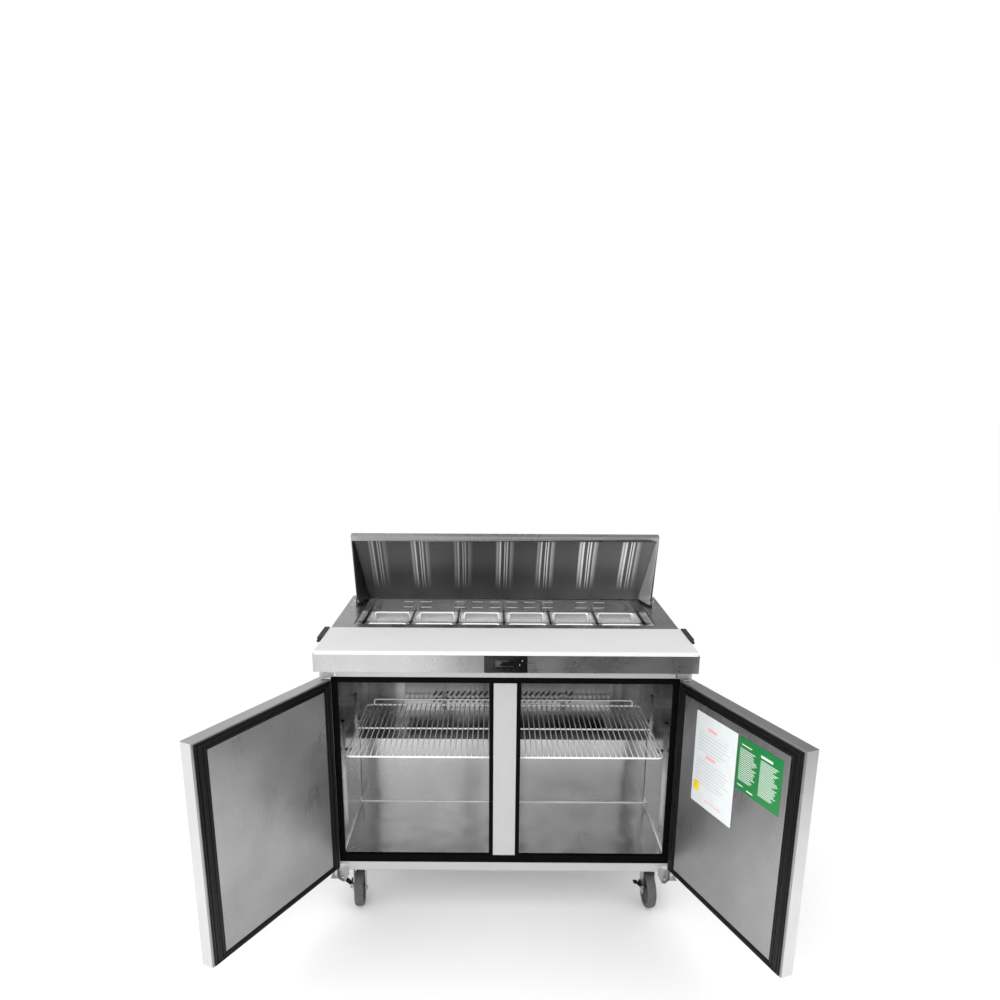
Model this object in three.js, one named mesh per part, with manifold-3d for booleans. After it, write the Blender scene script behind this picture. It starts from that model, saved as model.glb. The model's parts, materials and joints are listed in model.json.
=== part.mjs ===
// A two-door refrigerated sandwich prep table on casters, with a full-width cutting board, a cold well
// of twelve pans under a tilting lid, and two wire shelves. Millimetres, +Z up, front towards -Y.
import * as THREE from "three";
import { mergeVertices } from "three/addons/utils/BufferGeometryUtils.js";
import Module from "manifold-3d";

const wasm = await Module();
wasm.setup();

// ---- driving dimensions -------------------------------------------------------------------------
const SHEET = 2; // folded sheet
const GAP = 0.4; // clearance between pieces that touch

const TOP = { half: 613, front: -395, back: 381, z: 967, fascia: 59 };
const BODY = { half: 608, front: -332, back: 377, base: 156.7 };
const DOORWAY = { inner: 52, outer: 552, low: 216, high: 850 }; // clear opening of each door
const BREAKER = { half: 572, low: 187.4, high: 869.6, depth: 16 };
const MULLION = { half: 37.8, depth: 40 };
const INSIDE = { half: 562, floor: 204, lowerBack: 73, ledge: 472, upperBack: 335, ceiling: 856 };
const WELL = { half: 540, front: -42, back: 336, step: 904.7, floor: 807, ledge: 11, margin: 3.4 };
const WELL_SLOT = { xs: [35, 104.5, 176, 312, 383], zs: [928, 951], width: 46, height: 5 };
const PAN = {
  rimX: 176, rimY: 162, bodyX: 156, bodyY: 142, taper: 14, depth: 98, rest: 914.9, pitchY: 165.6,
};
const BOARD = { half: 607, front: -400, back: -132, thick: 12.7, round: 5 };
const PANEL = { half: 69, proud: 2 };
const ROOF = { back: 381, peak: 1125, slope: 0.287 }; // the plane that the lid and hood share
const LID = { half: 570, front: -66, base: 971, pivotY: 220, pivotZ: 984, open: 74 };
const DOOR = { hingeX: 582, hingeY: -352, low: 179, high: 871, reach: 577, heel: 6, out: 29, back: 13 };
const DOOR_OPEN = { left: 117.3, right: 111 };
const PAD = { inner: 35.4, outer: 525.6, low: 202, high: 836 }; // raised middle of a door's inside
const SEAL = { outer: 569, low: 182, high: 866, front: 15.6, back: 19.7 };
const SHELF = { inner: 3, outer: 547, front: -289, back: 199, z: 561, wires: 27, lip: 28 };
const CASTER = { x: 513, front: -262, rear: 300, radius: 62.5, width: 32, trail: 38, plate: 150.3 };
const CASTER_YAW = { front_left: 4, front_right: 4, rear_left: 14, rear_right: -20 };
const LOUVRE = { columns: 25, rows: 3, pitchX: 22.7, pitchZ: 28.5, slant: 14, height: 21, width: 7 };
const PILASTER = { ys: [-215, 52], thick: 6, half: 10, low: 236, high: 665 }; // slotted shelf strips
const EVAPORATOR = { left: -396, right: 430, low: 528, high: 800, face: 229 };

// ---- materials ----------------------------------------------------------------------------------
function finish(color, metalness, roughness) {
  return () => new THREE.MeshStandardMaterial({ color, metalness, roughness });
}
const steel = finish(0xc4c6c8, 0.9, 0.35);
const darkSteel = finish(0x8c8f93, 0.9, 0.4);
const chrome = finish(0xdedede, 1.0, 0.15);
const zinc = finish(0xb4b6b8, 0.8, 0.35);
const blackPlastic = finish(0x17181a, 0.0, 0.5);
const blackRubber = finish(0x121212, 0.0, 0.8);
const greyRubber = finish(0x58595b, 0.0, 0.7);
const greyPlastic = finish(0x6d6f72, 0.0, 0.5);
const whitePlastic = finish(0xf2f2f0, 0.0, 0.45);
const whiteCoat = finish(0xeeeeec, 0.1, 0.4);
const aluminium = finish(0xbfc3c6, 0.9, 0.4);
const blackPaint = finish(0x1b1b1c, 0.3, 0.5);

// ---- solids -------------------------------------------------------------------------------------
function solid(shape) {
  if (!shape.isBufferGeometry) return shape;
  const g = shape.clone();
  g.deleteAttribute("normal");
  g.deleteAttribute("uv");
  const merged = mergeVertices(g, 1e-4);
  return new wasm.Manifold(
    new wasm.Mesh({
      numProp: 3,
      vertProperties: new Float32Array(merged.attributes.position.array),
      triVerts: new Uint32Array(merged.index.array),
    }),
  );
}

function join(first, ...others) {
  return others.flat().reduce((sum, shape) => sum.add(solid(shape)), solid(first));
}

function cut(first, ...others) {
  return others.flat().reduce((rest, shape) => rest.subtract(solid(shape)), solid(first));
}

function geometryOf(shape) {
  if (shape.isBufferGeometry) return shape;
  const mesh = shape.getMesh();
  const points = new Float32Array(mesh.numVert * 3);
  for (let i = 0; i < mesh.numVert; i++) {
    points.set(mesh.vertProperties.subarray(i * mesh.numProp, i * mesh.numProp + 3), i * 3);
  }
  const g = new THREE.BufferGeometry();
  g.setAttribute("position", new THREE.BufferAttribute(points, 3));
  g.setIndex(new THREE.BufferAttribute(mesh.triVerts, 1));
  g.computeVertexNormals();
  return g;
}

// A box from one corner to the other; x may be given from the centre outwards on either side.
function box(x0, x1, y0, y1, z0, z1) {
  const g = new THREE.BoxGeometry(Math.abs(x1 - x0), Math.abs(y1 - y0), Math.abs(z1 - z0));
  return g.translate((x0 + x1) / 2, (y0 + y1) / 2, (z0 + z1) / 2);
}

// A round bar along x, y or z from one end to the other.
function bar(axis, radius, from, to, a, b, sides = 16) {
  const g = new THREE.CylinderGeometry(radius, radius, to - from, sides);
  const middle = (from + to) / 2;
  if (axis === "x") return g.rotateZ(-Math.PI / 2).translate(middle, a, b);
  if (axis === "y") return g.translate(a, middle, b);
  return g.rotateX(Math.PI / 2).translate(a, b, middle);
}

// A (y, z) outline swept along x.
function alongX(outline, x0, x1) {
  const shape = new THREE.Shape(outline.map(([y, z]) => new THREE.Vector2(y, z)));
  const low = Math.min(x0, x1);
  const g = new THREE.ExtrudeGeometry(shape, { depth: Math.abs(x1 - x0), bevelEnabled: false });
  const frame = new THREE.Matrix4().set(0, 0, 1, low, 1, 0, 0, 0, 0, 1, 0, 0, 0, 0, 0, 1);
  return g.applyMatrix4(frame);
}

// An (x, z) outline swept along y.
function alongY(outline, y0, y1) {
  const shape = new THREE.Shape(outline.map(([x, z]) => new THREE.Vector2(x, z)));
  const g = new THREE.ExtrudeGeometry(shape, { depth: y1 - y0, bevelEnabled: false });
  return g.rotateX(Math.PI / 2).translate(0, y1, 0);
}

// An (x, y) outline raised from z0 to z1.
function upright(outline, z0, z1) {
  const shape = new THREE.Shape(outline.map(([x, y]) => new THREE.Vector2(x, y)));
  return new THREE.ExtrudeGeometry(shape, { depth: z1 - z0, bevelEnabled: false }).translate(0, 0, z0);
}

function roundedOutline(width, depth, radius, cornerSteps = 2) {
  const points = [];
  const centres = [[1, 1], [-1, 1], [-1, -1], [1, -1]];
  centres.forEach(([sx, sy], corner) => {
    for (let i = 0; i <= cornerSteps; i++) {
      const angle = (corner + i / cornerSteps) * (Math.PI / 2);
      points.push([
        sx * (width / 2 - radius) + radius * Math.cos(angle),
        sy * (depth / 2 - radius) + radius * Math.sin(angle),
      ]);
    }
  });
  return points;
}

// A closed solid through level rings with the same number of points, lowest ring first.
function stack(rings) {
  const count = rings[0].outline.length;
  const points = [];
  const faces = [];
  rings.forEach(({ outline, z }) => outline.forEach(([x, y]) => points.push(x, y, z)));
  for (let level = 0; level + 1 < rings.length; level++) {
    for (let i = 0; i < count; i++) {
      const a = level * count + i;
      const b = level * count + ((i + 1) % count);
      faces.push(a, b, b + count, a, b + count, a + count);
    }
  }
  const last = (rings.length - 1) * count;
  for (let i = 1; i + 1 < count; i++) {
    faces.push(0, i + 1, i);
    faces.push(last, last + i, last + i + 1);
  }
  const g = new THREE.BufferGeometry();
  g.setAttribute("position", new THREE.Float32BufferAttribute(points, 3));
  g.setIndex(faces);
  return g;
}

const root = new THREE.Group();

function piece(name, shape, material, parent = root) {
  const mesh = new THREE.Mesh(geometryOf(shape), material());
  mesh.name = name;
  parent.add(mesh);
  return mesh;
}

const SIDES = { left: -1, right: 1 };

// ---- cabinet ------------------------------------------------------------------------------------
const bodyTop = TOP.z - TOP.fascia - GAP;
const bodyLow = BODY.base + GAP;
const panelFront = BODY.front + SHEET + GAP;
const panelBack = BODY.back - SHEET - GAP;

for (const [side, s] of Object.entries(SIDES)) {
  const skin = box(s * (BODY.half - SHEET), s * BODY.half, panelFront, panelBack, bodyLow, bodyTop);
  const inside = s * (BODY.half - SHEET - 22);
  const fold = (z) => box(inside, s * (BODY.half - 1), panelFront + 3, panelBack - 3, z, z + SHEET);
  piece(`cabinet_${side}_panel`, join(skin, fold(bodyLow + 1), fold(bodyTop - SHEET - 1)), steel);
}

const casterSpots = {
  front_left: [-CASTER.x, CASTER.front],
  front_right: [CASTER.x, CASTER.front],
  rear_left: [-CASTER.x, CASTER.rear],
  rear_right: [CASTER.x, CASTER.rear],
};
{
  const sheetLow = BODY.base - SHEET;
  const floorSheet = box(-BODY.half, BODY.half, BODY.front, BODY.back, sheetLow, BODY.base);
  const plates = Object.values(casterSpots).map(([x, y]) =>
    box(x - 38, x + 38, y - 50, y + 50, CASTER.plate + GAP, sheetLow + 0.5),
  );
  const holes = Object.values(casterSpots).map(([x, y]) =>
    bar("z", 7, CASTER.plate, BODY.base + 1, x, y, 12),
  );
  piece("cabinet_bottom", cut(join(floorSheet, plates), holes), steel);
}
{
  const sheet = box(-BODY.half, BODY.half, BODY.back - SHEET, BODY.back, bodyLow, bodyTop);
  const slots = [];
  for (const x of [-330, 330]) {
    for (let row = 0; row < 8; row++) {
      const z = 205 + row * 30;
      slots.push(box(x - 190, x + 190, BODY.back - 5, BODY.back + 5, z, z + 12));
    }
  }
  piece("rear_panel", cut(sheet, slots), steel);
}
{
  const sheet = box(-BODY.half, BODY.half, BODY.front, BODY.front + SHEET, bodyLow, bodyTop);
  const opening = box(
    -BREAKER.half - GAP, BREAKER.half + GAP, BODY.front - 5, BODY.front + 5,
    BREAKER.low - GAP, BREAKER.high + GAP,
  );
  piece("face_frame", cut(sheet, opening), steel);
}
{
  const back = BODY.front + BREAKER.depth;
  const bars = box(-BREAKER.half, BREAKER.half, BODY.front, back, BREAKER.low, BREAKER.high);
  const doorways = Object.values(SIDES).map((s) =>
    box(s * DOORWAY.inner, s * DOORWAY.outer, BODY.front - 5, back + 5, DOORWAY.low, DOORWAY.high),
  );
  const slotHalf = MULLION.half + GAP;
  const slot = box(-slotHalf, slotHalf, BODY.front - 5, back + 5, DOORWAY.low, DOORWAY.high);
  piece("breaker_frame", cut(bars, doorways, slot), blackPlastic);
}
{
  const low = DOORWAY.low + GAP;
  const high = DOORWAY.high - GAP;
  const back = BODY.front + MULLION.depth;
  const cover = box(-MULLION.half, MULLION.half, BODY.front, BODY.front + SHEET, low, high);
  const webs = Object.values(SIDES).map((s) =>
    box(s * (MULLION.half - SHEET), s * MULLION.half, BODY.front + 1, back, low, high),
  );
  const clip = box(-34, 34, back - 6, back + 18, SHELF.z - 5, SHELF.z - 1);
  const clipWeb = box(-37, 37, back - 6, back - 3, SHELF.z - 20, SHELF.z - 1);
  piece("mullion", join(cover, webs, clipWeb, clip), steel);
}
{
  const front = BODY.front + BREAKER.depth + GAP;
  const outside = INSIDE.half + SHEET;
  const lowerShell = box(
    -outside, outside, front, INSIDE.lowerBack + SHEET, INSIDE.floor - SHEET, INSIDE.ceiling + SHEET,
  );
  const upperShell = box(
    -outside, outside, 0, INSIDE.upperBack + SHEET, INSIDE.ledge - SHEET, INSIDE.ceiling + SHEET,
  );
  const lowerSpace = box(
    -INSIDE.half, INSIDE.half, front - 5, INSIDE.lowerBack, INSIDE.floor, INSIDE.ceiling,
  );
  const upperSpace = box(-INSIDE.half, INSIDE.half, 0, INSIDE.upperBack, INSIDE.ledge, INSIDE.ceiling);
  const wellHole = box(
    -(WELL.half - WELL.ledge + 2), WELL.half - WELL.ledge + 2,
    WELL.front + WELL.ledge - 3, WELL.back - WELL.ledge + 3, INSIDE.ceiling - 5, INSIDE.ceiling + 5,
  );
  const shell = cut(join(lowerShell, upperShell), lowerSpace, upperSpace, wellHole);
  const strips = [];
  for (const s of Object.values(SIDES)) {
    for (const y of PILASTER.ys) {
      const { thick, half, low, high } = PILASTER;
      const wall = s * (INSIDE.half + 1);
      strips.push(box(s * (INSIDE.half - thick), wall, y - half, y + half, low, high));
      const clipEnd = s * (INSIDE.half - thick + 1);
      strips.push(box(s * (SHELF.outer - 12), clipEnd, y - 9, y + 9, SHELF.z - 5, SHELF.z - 1));
    }
  }
  piece("liner", join(shell, strips), darkSteel);
}

// ---- worktop, cold well and control panel -------------------------------------------------------
{
  const low = TOP.z - TOP.fascia;
  const block = box(-TOP.half, TOP.half, TOP.front, TOP.back, low, TOP.z);
  const hollow = box(
    -(TOP.half - SHEET), TOP.half - SHEET, TOP.front + SHEET, TOP.back - SHEET,
    low + SHEET, TOP.z - SHEET,
  );
  const lip = 27;
  const underside = box(
    -(TOP.half - lip), TOP.half - lip, BODY.front + 14, TOP.back - lip, low - 5, low + 5,
  );
  const well = box(-WELL.half, WELL.half, WELL.front, WELL.back, TOP.z - 5, TOP.z + 5);
  const window = box(-62, 62, TOP.front - 5, TOP.front + 5, low + 8, TOP.z - 8);
  piece("worktop", cut(block, hollow, underside, well, window), steel);
}
{
  const top = TOP.z - SHEET - GAP;
  const skirt = WELL.half - GAP;
  const [front, back] = [WELL.front + GAP, WELL.back - GAP];
  const ledge = WELL.ledge;
  const flange = box(-skirt - 12, skirt + 12, front - 12, back + 12, top - SHEET, top);
  const upper = box(-skirt, skirt, front, back, WELL.step - SHEET, top);
  const lower = box(
    -(skirt - ledge), skirt - ledge, front + ledge, back - ledge, WELL.floor - SHEET, WELL.step,
  );
  const upperSpace = box(
    -(skirt - SHEET), skirt - SHEET, front + SHEET, back - SHEET, WELL.step, TOP.z,
  );
  const inset = ledge + SHEET;
  const lowerSpace = box(
    -(skirt - inset), skirt - inset, front + inset, back - inset, WELL.floor, TOP.z,
  );
  const slots = [];
  for (const x of WELL_SLOT.xs) {
    for (const s of Object.values(SIDES)) {
      for (const z of WELL_SLOT.zs) {
        const [near, far] = [s * x - WELL_SLOT.width / 2, s * x + WELL_SLOT.width / 2];
        slots.push(box(near, far, back - 5, back + 5, z, z + WELL_SLOT.height));
      }
    }
  }
  piece("well_liner", cut(join(flange, upper, lower), upperSpace, lowerSpace, slots), steel);
}

const wellHalf = WELL.half - WELL.margin;
const wellFront = WELL.front + WELL.margin;
const wellBack = WELL.back - WELL.margin;
const panPitchX = (2 * wellHalf) / 6;
const panFront = wellBack - 2 * PAN.pitchY;
{
  const low = WELL.step + 0.3;
  const high = PAN.rest - 0.3;
  const frame = box(-wellHalf, wellHalf, wellFront, wellBack, low, high);
  const barWidth = 14;
  const windows = [];
  for (let column = 0; column < 6; column++) {
    for (let row = 0; row < 2; row++) {
      const x = -wellHalf + column * panPitchX;
      const y = panFront + row * PAN.pitchY;
      windows.push(
        box(
          x + barWidth / 2, x + panPitchX - barWidth / 2, y + barWidth / 2,
          y + PAN.pitchY - barWidth / 2, low - 5, high + 5,
        ),
      );
    }
  }
  piece("pan_dividers", cut(frame, windows), steel);
}

function panShape() {
  const rimThick = 1.6;
  const wall = 1.6;
  const low = PAN.rest - PAN.depth;
  const top = PAN.rest + rimThick;
  const rim = upright(roundedOutline(PAN.rimX, PAN.rimY, 12), PAN.rest, top);
  const body = stack([
    { outline: roundedOutline(PAN.bodyX - PAN.taper, PAN.bodyY - PAN.taper, 20), z: low },
    { outline: roundedOutline(PAN.bodyX, PAN.bodyY, 20), z: PAN.rest + 1 },
  ]);
  const hollow = stack([
    {
      outline: roundedOutline(PAN.bodyX - PAN.taper - 2 * wall, PAN.bodyY - PAN.taper - 2 * wall, 18.4),
      z: low + wall,
    },
    { outline: roundedOutline(PAN.bodyX - 2 * wall, PAN.bodyY - 2 * wall, 18.4), z: top + 0.5 },
  ]);
  return geometryOf(cut(join(rim, body), hollow));
}
{
  const shape = panShape();
  ["front", "rear"].forEach((row, r) => {
    for (let column = 0; column < 6; column++) {
      const pan = piece(`pan_${row}_${column + 1}`, shape, steel);
      const x = -wellHalf + (column + 0.5) * panPitchX;
      pan.position.set(x, panFront + (r + 0.5) * PAN.pitchY, 0);
    }
  });
}
{
  const low = TOP.z - TOP.fascia + GAP;
  const back = TOP.front - GAP;
  const plate = box(-PANEL.half, PANEL.half, back - PANEL.proud, back, low, TOP.z - GAP);
  const housing = box(-60, 60, back - 1, TOP.front + 32, low + 9, TOP.z - 10);
  piece("control_panel", join(plate, housing), blackPlastic);
}
{
  const { front, back, thick, round, half } = BOARD;
  const low = TOP.z + GAP;
  const high = low + thick;
  const outline = [[back, low], [back, high]];
  for (let i = 0; i <= 4; i++) {
    const angle = Math.PI / 2 + (i / 4) * (Math.PI / 2);
    outline.push([front + round + round * Math.cos(angle), high - round + round * Math.sin(angle)]);
  }
  outline.push([front, low]);
  piece("cutting_board", alongX(outline.reverse(), -half, half), whitePlastic);
}
for (const [side, s] of Object.entries(SIDES)) {
  const x = TOP.half + GAP;
  const inner = BOARD.half + 2 * GAP;
  const cheek = box(s * x, s * (x + 3), -256, -140, 926, 976);
  const cover = box(s * inner, s * (inner + 17), -262, -134, TOP.z + GAP, 983);
  const stud = bar("y", 5, -282, -261, s * (inner + 10), 976, 12);
  piece(`board_bracket_${side}`, join(cheek, cover, stud), greyPlastic);
}

// ---- lid and rear hood --------------------------------------------------------------------------
function roof(y) {
  return ROOF.peak - ROOF.slope * (ROOF.back - y);
}

function around(radius, angle) {
  const a = THREE.MathUtils.degToRad(angle);
  return [LID.pivotY + radius * Math.cos(a), LID.pivotZ + radius * Math.sin(a)];
}

{
  const half = LID.half - SHEET;
  const low = TOP.z + GAP;
  const sweep = 123.5;
  const outline = [[ROOF.back, low], [ROOF.back, ROOF.peak]];
  for (let angle = 65; angle >= -5; angle -= 10) outline.push(around(sweep, angle));
  outline.push([LID.pivotY + sweep, low]);
  const hollow = [
    [LID.pivotY - 20, low - 5],
    [ROOF.back - SHEET, low - 5],
    [ROOF.back - SHEET, roof(ROOF.back - SHEET) - SHEET],
    [LID.pivotY - 20, roof(LID.pivotY - 20) - SHEET],
  ];
  const hood = cut(alongX(outline, -half, half), alongX(hollow, -half + SHEET, half - SHEET));
  piece("rear_hood", hood, steel);
}

for (const [side, s] of Object.entries(SIDES)) {
  const low = TOP.z + GAP;
  const x = LID.half + 2;
  const outline = [
    [198, low], [ROOF.back, low], [ROOF.back, roof(ROOF.back) - 6], [300, roof(300) - 6],
    [238, 1006], [198, 1000],
  ];
  const cheek = alongX(outline, s * x, s * (x + SHEET));
  const foot = box(s * x, s * (x + 26), 198, 300, low, low + SHEET);
  const pivot = (radius, from, to) =>
    bar("x", radius, Math.min(s * from, s * to), Math.max(s * from, s * to), LID.pivotY, LID.pivotZ);
  const pin = pivot(6, LID.half - 8, x + 1);
  const head = pivot(10, x, x + 7);
  piece(`lid_bracket_${side}`, join(cheek, foot, pin, head), chrome);
}

// The lid is drawn shut, with its axle on the group's origin, and the group tips it back.
const lid = new THREE.Group();
lid.position.set(0, LID.pivotY, LID.pivotZ);
lid.rotation.x = -THREE.MathUtils.degToRad(LID.open);
root.add(lid);
{
  const local = ([y, z]) => [y - LID.pivotY, z - LID.pivotZ];
  const heelY = 230;
  const rearY = 262;
  const front = LID.front;
  const outline = [
    [front, LID.base], [heelY, LID.base], [rearY, roof(rearY)], [front, roof(front)],
  ].map(local);
  const skin = SHEET;
  const under = (y, depth) => [y, roof(y) - depth];
  const space = [
    [front + skin, LID.base - 5], [heelY + 20, LID.base - 5], [heelY + 40, 1040],
    under(rearY + 10, skin), under(front + skin, skin),
  ].map(local);
  const half = LID.half;
  const block = alongX(outline, -half, half);
  const hollow = alongX(space, -half + skin, half - skin);
  const lip = alongX(
    [[front + 1, LID.base], [front + 20, LID.base], [front + 20, LID.base + skin],
      [front + 1, LID.base + skin]].map(local),
    -half + 1, half - 1,
  );
  const bores = Object.values(SIDES).map((s) =>
    bar("x", 6.6, s < 0 ? -half - 5 : half - 5, s < 0 ? -half + 5 : half + 5, 0, 0),
  );
  piece("lid_skin", cut(join(cut(block, hollow), lip), bores), steel, lid);

  const gap = skin + GAP;
  const depth = 20;
  const tray = alongX(
    [
      under(front + 4, gap), under(front + 4, depth), under(rearY - 8, depth), under(rearY - 4, gap),
    ].map(local),
    -half + gap, half - gap,
  );
  const trayHollow = alongX(
    [under(front + 4 + skin, 0), under(front + 4 + skin, depth - skin),
      under(rearY - 10, depth - skin), under(rearY - 7, 0)].map(local),
    -half + gap + skin, half - gap - skin,
  );
  piece("lid_liner", cut(tray, trayHollow), darkSteel, lid);
}

// ---- doors --------------------------------------------------------------------------------------
// Each door is drawn shut in its hinge's own frame and turned open: a runs from the hinge along the
// door, and the offset runs from the hinge line towards the cabinet.
for (const [side, s] of Object.entries(SIDES)) {
  const door = new THREE.Group();
  door.position.set(s * DOOR.hingeX, DOOR.hingeY, 0);
  door.rotation.z = THREE.MathUtils.degToRad(s * DOOR_OPEN[side]);
  root.add(door);
  const slab = (a0, a1, off0, off1, z0, z1) => box(-s * a0, -s * a1, off0, off1, z0, z1);
  const bevel = 4;
  const outline = [
    [-DOOR.heel, DOOR.back], [-DOOR.heel, -DOOR.out + bevel], [-DOOR.heel + bevel, -DOOR.out],
    [DOOR.reach - bevel, -DOOR.out], [DOOR.reach, -DOOR.out + bevel], [DOOR.reach, DOOR.back],
  ].map(([a, off]) => [-s * a, off]);
  const block = upright(outline, DOOR.low, DOOR.high);
  const hollow = slab(
    -DOOR.heel + SHEET, DOOR.reach - SHEET, -DOOR.out + SHEET, DOOR.back + 5,
    DOOR.low + SHEET, DOOR.high - SHEET,
  );
  const pinHoles = bar("z", 5.6, DOOR.low - 5, DOOR.high + 5, 0, 0, 12);
  piece(`door_${side}_shell`, cut(block, hollow, pinHoles), steel, door);

  const plateFront = DOOR.back + 0.3;
  const plate = slab(-5, DOOR.reach - 1, plateFront, plateFront + SHEET, DOOR.low + 1, DOOR.high - 1);
  const raised = slab(PAD.inner, PAD.outer, plateFront + 1, plateFront + SHEET + 2.2, PAD.low, PAD.high);
  const pressed = slab(
    PAD.inner + 2, PAD.outer - 2, plateFront - 5, plateFront + SHEET + 0.2, PAD.low + 2, PAD.high - 2,
  );
  piece(`door_${side}_inner`, cut(join(plate, raised), pressed), steel, door);

  const ring = slab(0, SEAL.outer, SEAL.front, SEAL.back, SEAL.low, SEAL.high);
  const middle = slab(
    PAD.inner - GAP, PAD.outer + GAP, SEAL.front - 5, SEAL.back + 5, PAD.low - GAP, PAD.high + GAP,
  );
  piece(`door_${side}_gasket`, cut(ring, middle), blackRubber, door);

  const near = BODY.front - 0.3;
  const outer = DOOR.hingeX + 16;
  const plateThick = 3;
  const topPlate = 874;
  piece(
    `hinge_${side}_top`,
    join(
      box(s * (DOOR.hingeX - 28), s * outer, near - 2.5, near, topPlate, topPlate + 30),
      box(s * (DOOR.hingeX - 18), s * outer, DOOR.hingeY - 14, near, topPlate, topPlate + plateThick),
      bar("z", 5, DOOR.high - 24, topPlate + 2, s * DOOR.hingeX, DOOR.hingeY, 12),
    ),
    chrome,
  );
  const lowPlate = 141;
  const inner = DOOR.hingeX - 42;
  const arm = [
    [inner, near], [inner + 4, near - 51.7], [inner + 12, near - 54.7],
    [inner + 32, near - 36.7], [outer, near - 36.7], [outer, near],
  ].map(([x, y]) => [s * x, y]);
  piece(
    `hinge_${side}_bottom`,
    cut(
      join(
        box(s * inner, s * outer, near - 2.5, near, lowPlate, 181),
        upright(arm, lowPlate, lowPlate + plateThick),
        bar("z", 5, lowPlate + 1, DOOR.low + 24, s * DOOR.hingeX, DOOR.hingeY, 12),
      ),
      bar("z", 3.4, lowPlate - 5, lowPlate + 8, s * (inner + 17), near - 31.7, 12),
    ),
    chrome,
  );
}

// ---- wire shelves -------------------------------------------------------------------------------
for (const [side, s] of Object.entries(SIDES)) {
  const { inner, outer, front, back, z, wires, lip } = SHELF;
  const thin = 3;
  const thick = 6;
  const rodTop = z + thick;
  const wireTop = rodTop + thin - 0.5;
  const rods = [front + 3, -40, back - 3].map((y) =>
    box(s * inner, s * outer, y - thick / 2, y + thick / 2, z, rodTop),
  );
  const ends = [inner + 3, outer - 3, outer - 17].map((x) =>
    box(s * (x - thick / 2 + 0.5), s * (x + thick / 2 - 0.5), front + 1, back - 1, z + 0.5, rodTop - 0.8),
  );
  const grid = [];
  for (let i = 0; i < wires; i++) {
    const x = inner + 14 + (i * (outer - inner - 44)) / (wires - 1);
    grid.push(box(s * (x - thin / 2), s * (x + thin / 2), front + 1, back - 1, rodTop - 0.5, wireTop));
  }
  const rail = box(s * (inner + 30), s * (outer - 30), back - 5.5, back - 0.5, z + lip - thin, z + lip);
  const posts = [inner + 31, outer - 35].map((x) =>
    box(s * x, s * (x + 4), back - 5, back - 1.2, z + 1, z + lip - 1),
  );
  piece(`shelf_${side}`, join(rods[0], rods.slice(1), ends, grid, rail, posts), whiteCoat);
}

// ---- evaporator ---------------------------------------------------------------------------------
{
  const { left, right, low, high, face } = EVAPORATOR;
  const back = INSIDE.upperBack - 1;
  const { columns, rows, pitchX, pitchZ, slant, height, width } = LOUVRE;
  const slots = [];
  for (let row = 0; row < rows; row++) {
    for (let column = 0; column < columns; column++) {
      const x = (column - columns / 2) * pitchX;
      const z = low + 6 + row * pitchZ;
      const outline = [[x, z], [x + width, z], [x + width + slant, z + height], [x + slant, z + height]];
      slots.push(alongY(outline, face - 5, face + 8));
    }
  }
  const plate = cut(box(left, right, face, face + SHEET, low, high), slots);
  const returns = [
    box(left + 1, left + 1 + SHEET, face + 1, back, low + 1, high - 1.5),
    box(right - 1 - SHEET, right - 1, face + 1, back, low + 1, high - 1.5),
    box(left + 2, right - 2, face + 1.2, back - 1, high - 1 - SHEET, high - 1),
  ];
  const clip = box(-34, 34, back - 144, face + 1, SHELF.z - 5, SHELF.z - 1);
  piece("evaporator_cover", join(plate, returns, clip), darkSteel);
}
const evaporatorFan = { x: 300, y: 252, z: 670, radius: 88 };
const condenserFan = { x: 250, y: 262, z: 300, radius: 105 };
{
  const core = box(-340, 90, 262, 318, 548, 770);
  const grooves = [];
  for (let i = 0; i < 16; i++) {
    grooves.push(box(-330 + i * 26, -318 + i * 26, 255, 275, 556, 762));
  }
  const plates = [box(-344, -339, 256, 330, 540, 778), box(89, 94, 256, 330, 540, 778)];
  const tray = box(-344, 388, 322, 330, 540, 790);
  const motor = bar("y", 34, evaporatorFan.y + 20, 325, evaporatorFan.x, evaporatorFan.z);
  const { x, y, z } = evaporatorFan;
  const shaft = bar("y", 4, y - 12, y + 24, x, z, 12);
  piece("evaporator_coil", join(cut(core, grooves), plates, tray, motor, shaft), aluminium);
}

function fanShape(fan) {
  const hub = bar("y", 22, fan.y - 9, fan.y + 9, fan.x, fan.z);
  const blades = [];
  for (let i = 0; i < 4; i++) {
    const blade = new THREE.BoxGeometry(fan.radius - 18, 2.5, 52)
      .rotateX(THREE.MathUtils.degToRad(24))
      .translate((fan.radius - 18) / 2 + 18, 0, 0)
      .rotateY((i * Math.PI) / 2)
      .translate(fan.x, fan.y, fan.z);
    blades.push(blade);
  }
  const bore = bar("y", 4.6, fan.y - 20, fan.y + 20, fan.x, fan.z, 12);
  return cut(join(hub, blades), bore);
}
piece("evaporator_fan", fanShape(evaporatorFan), blackPlastic);

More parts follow.
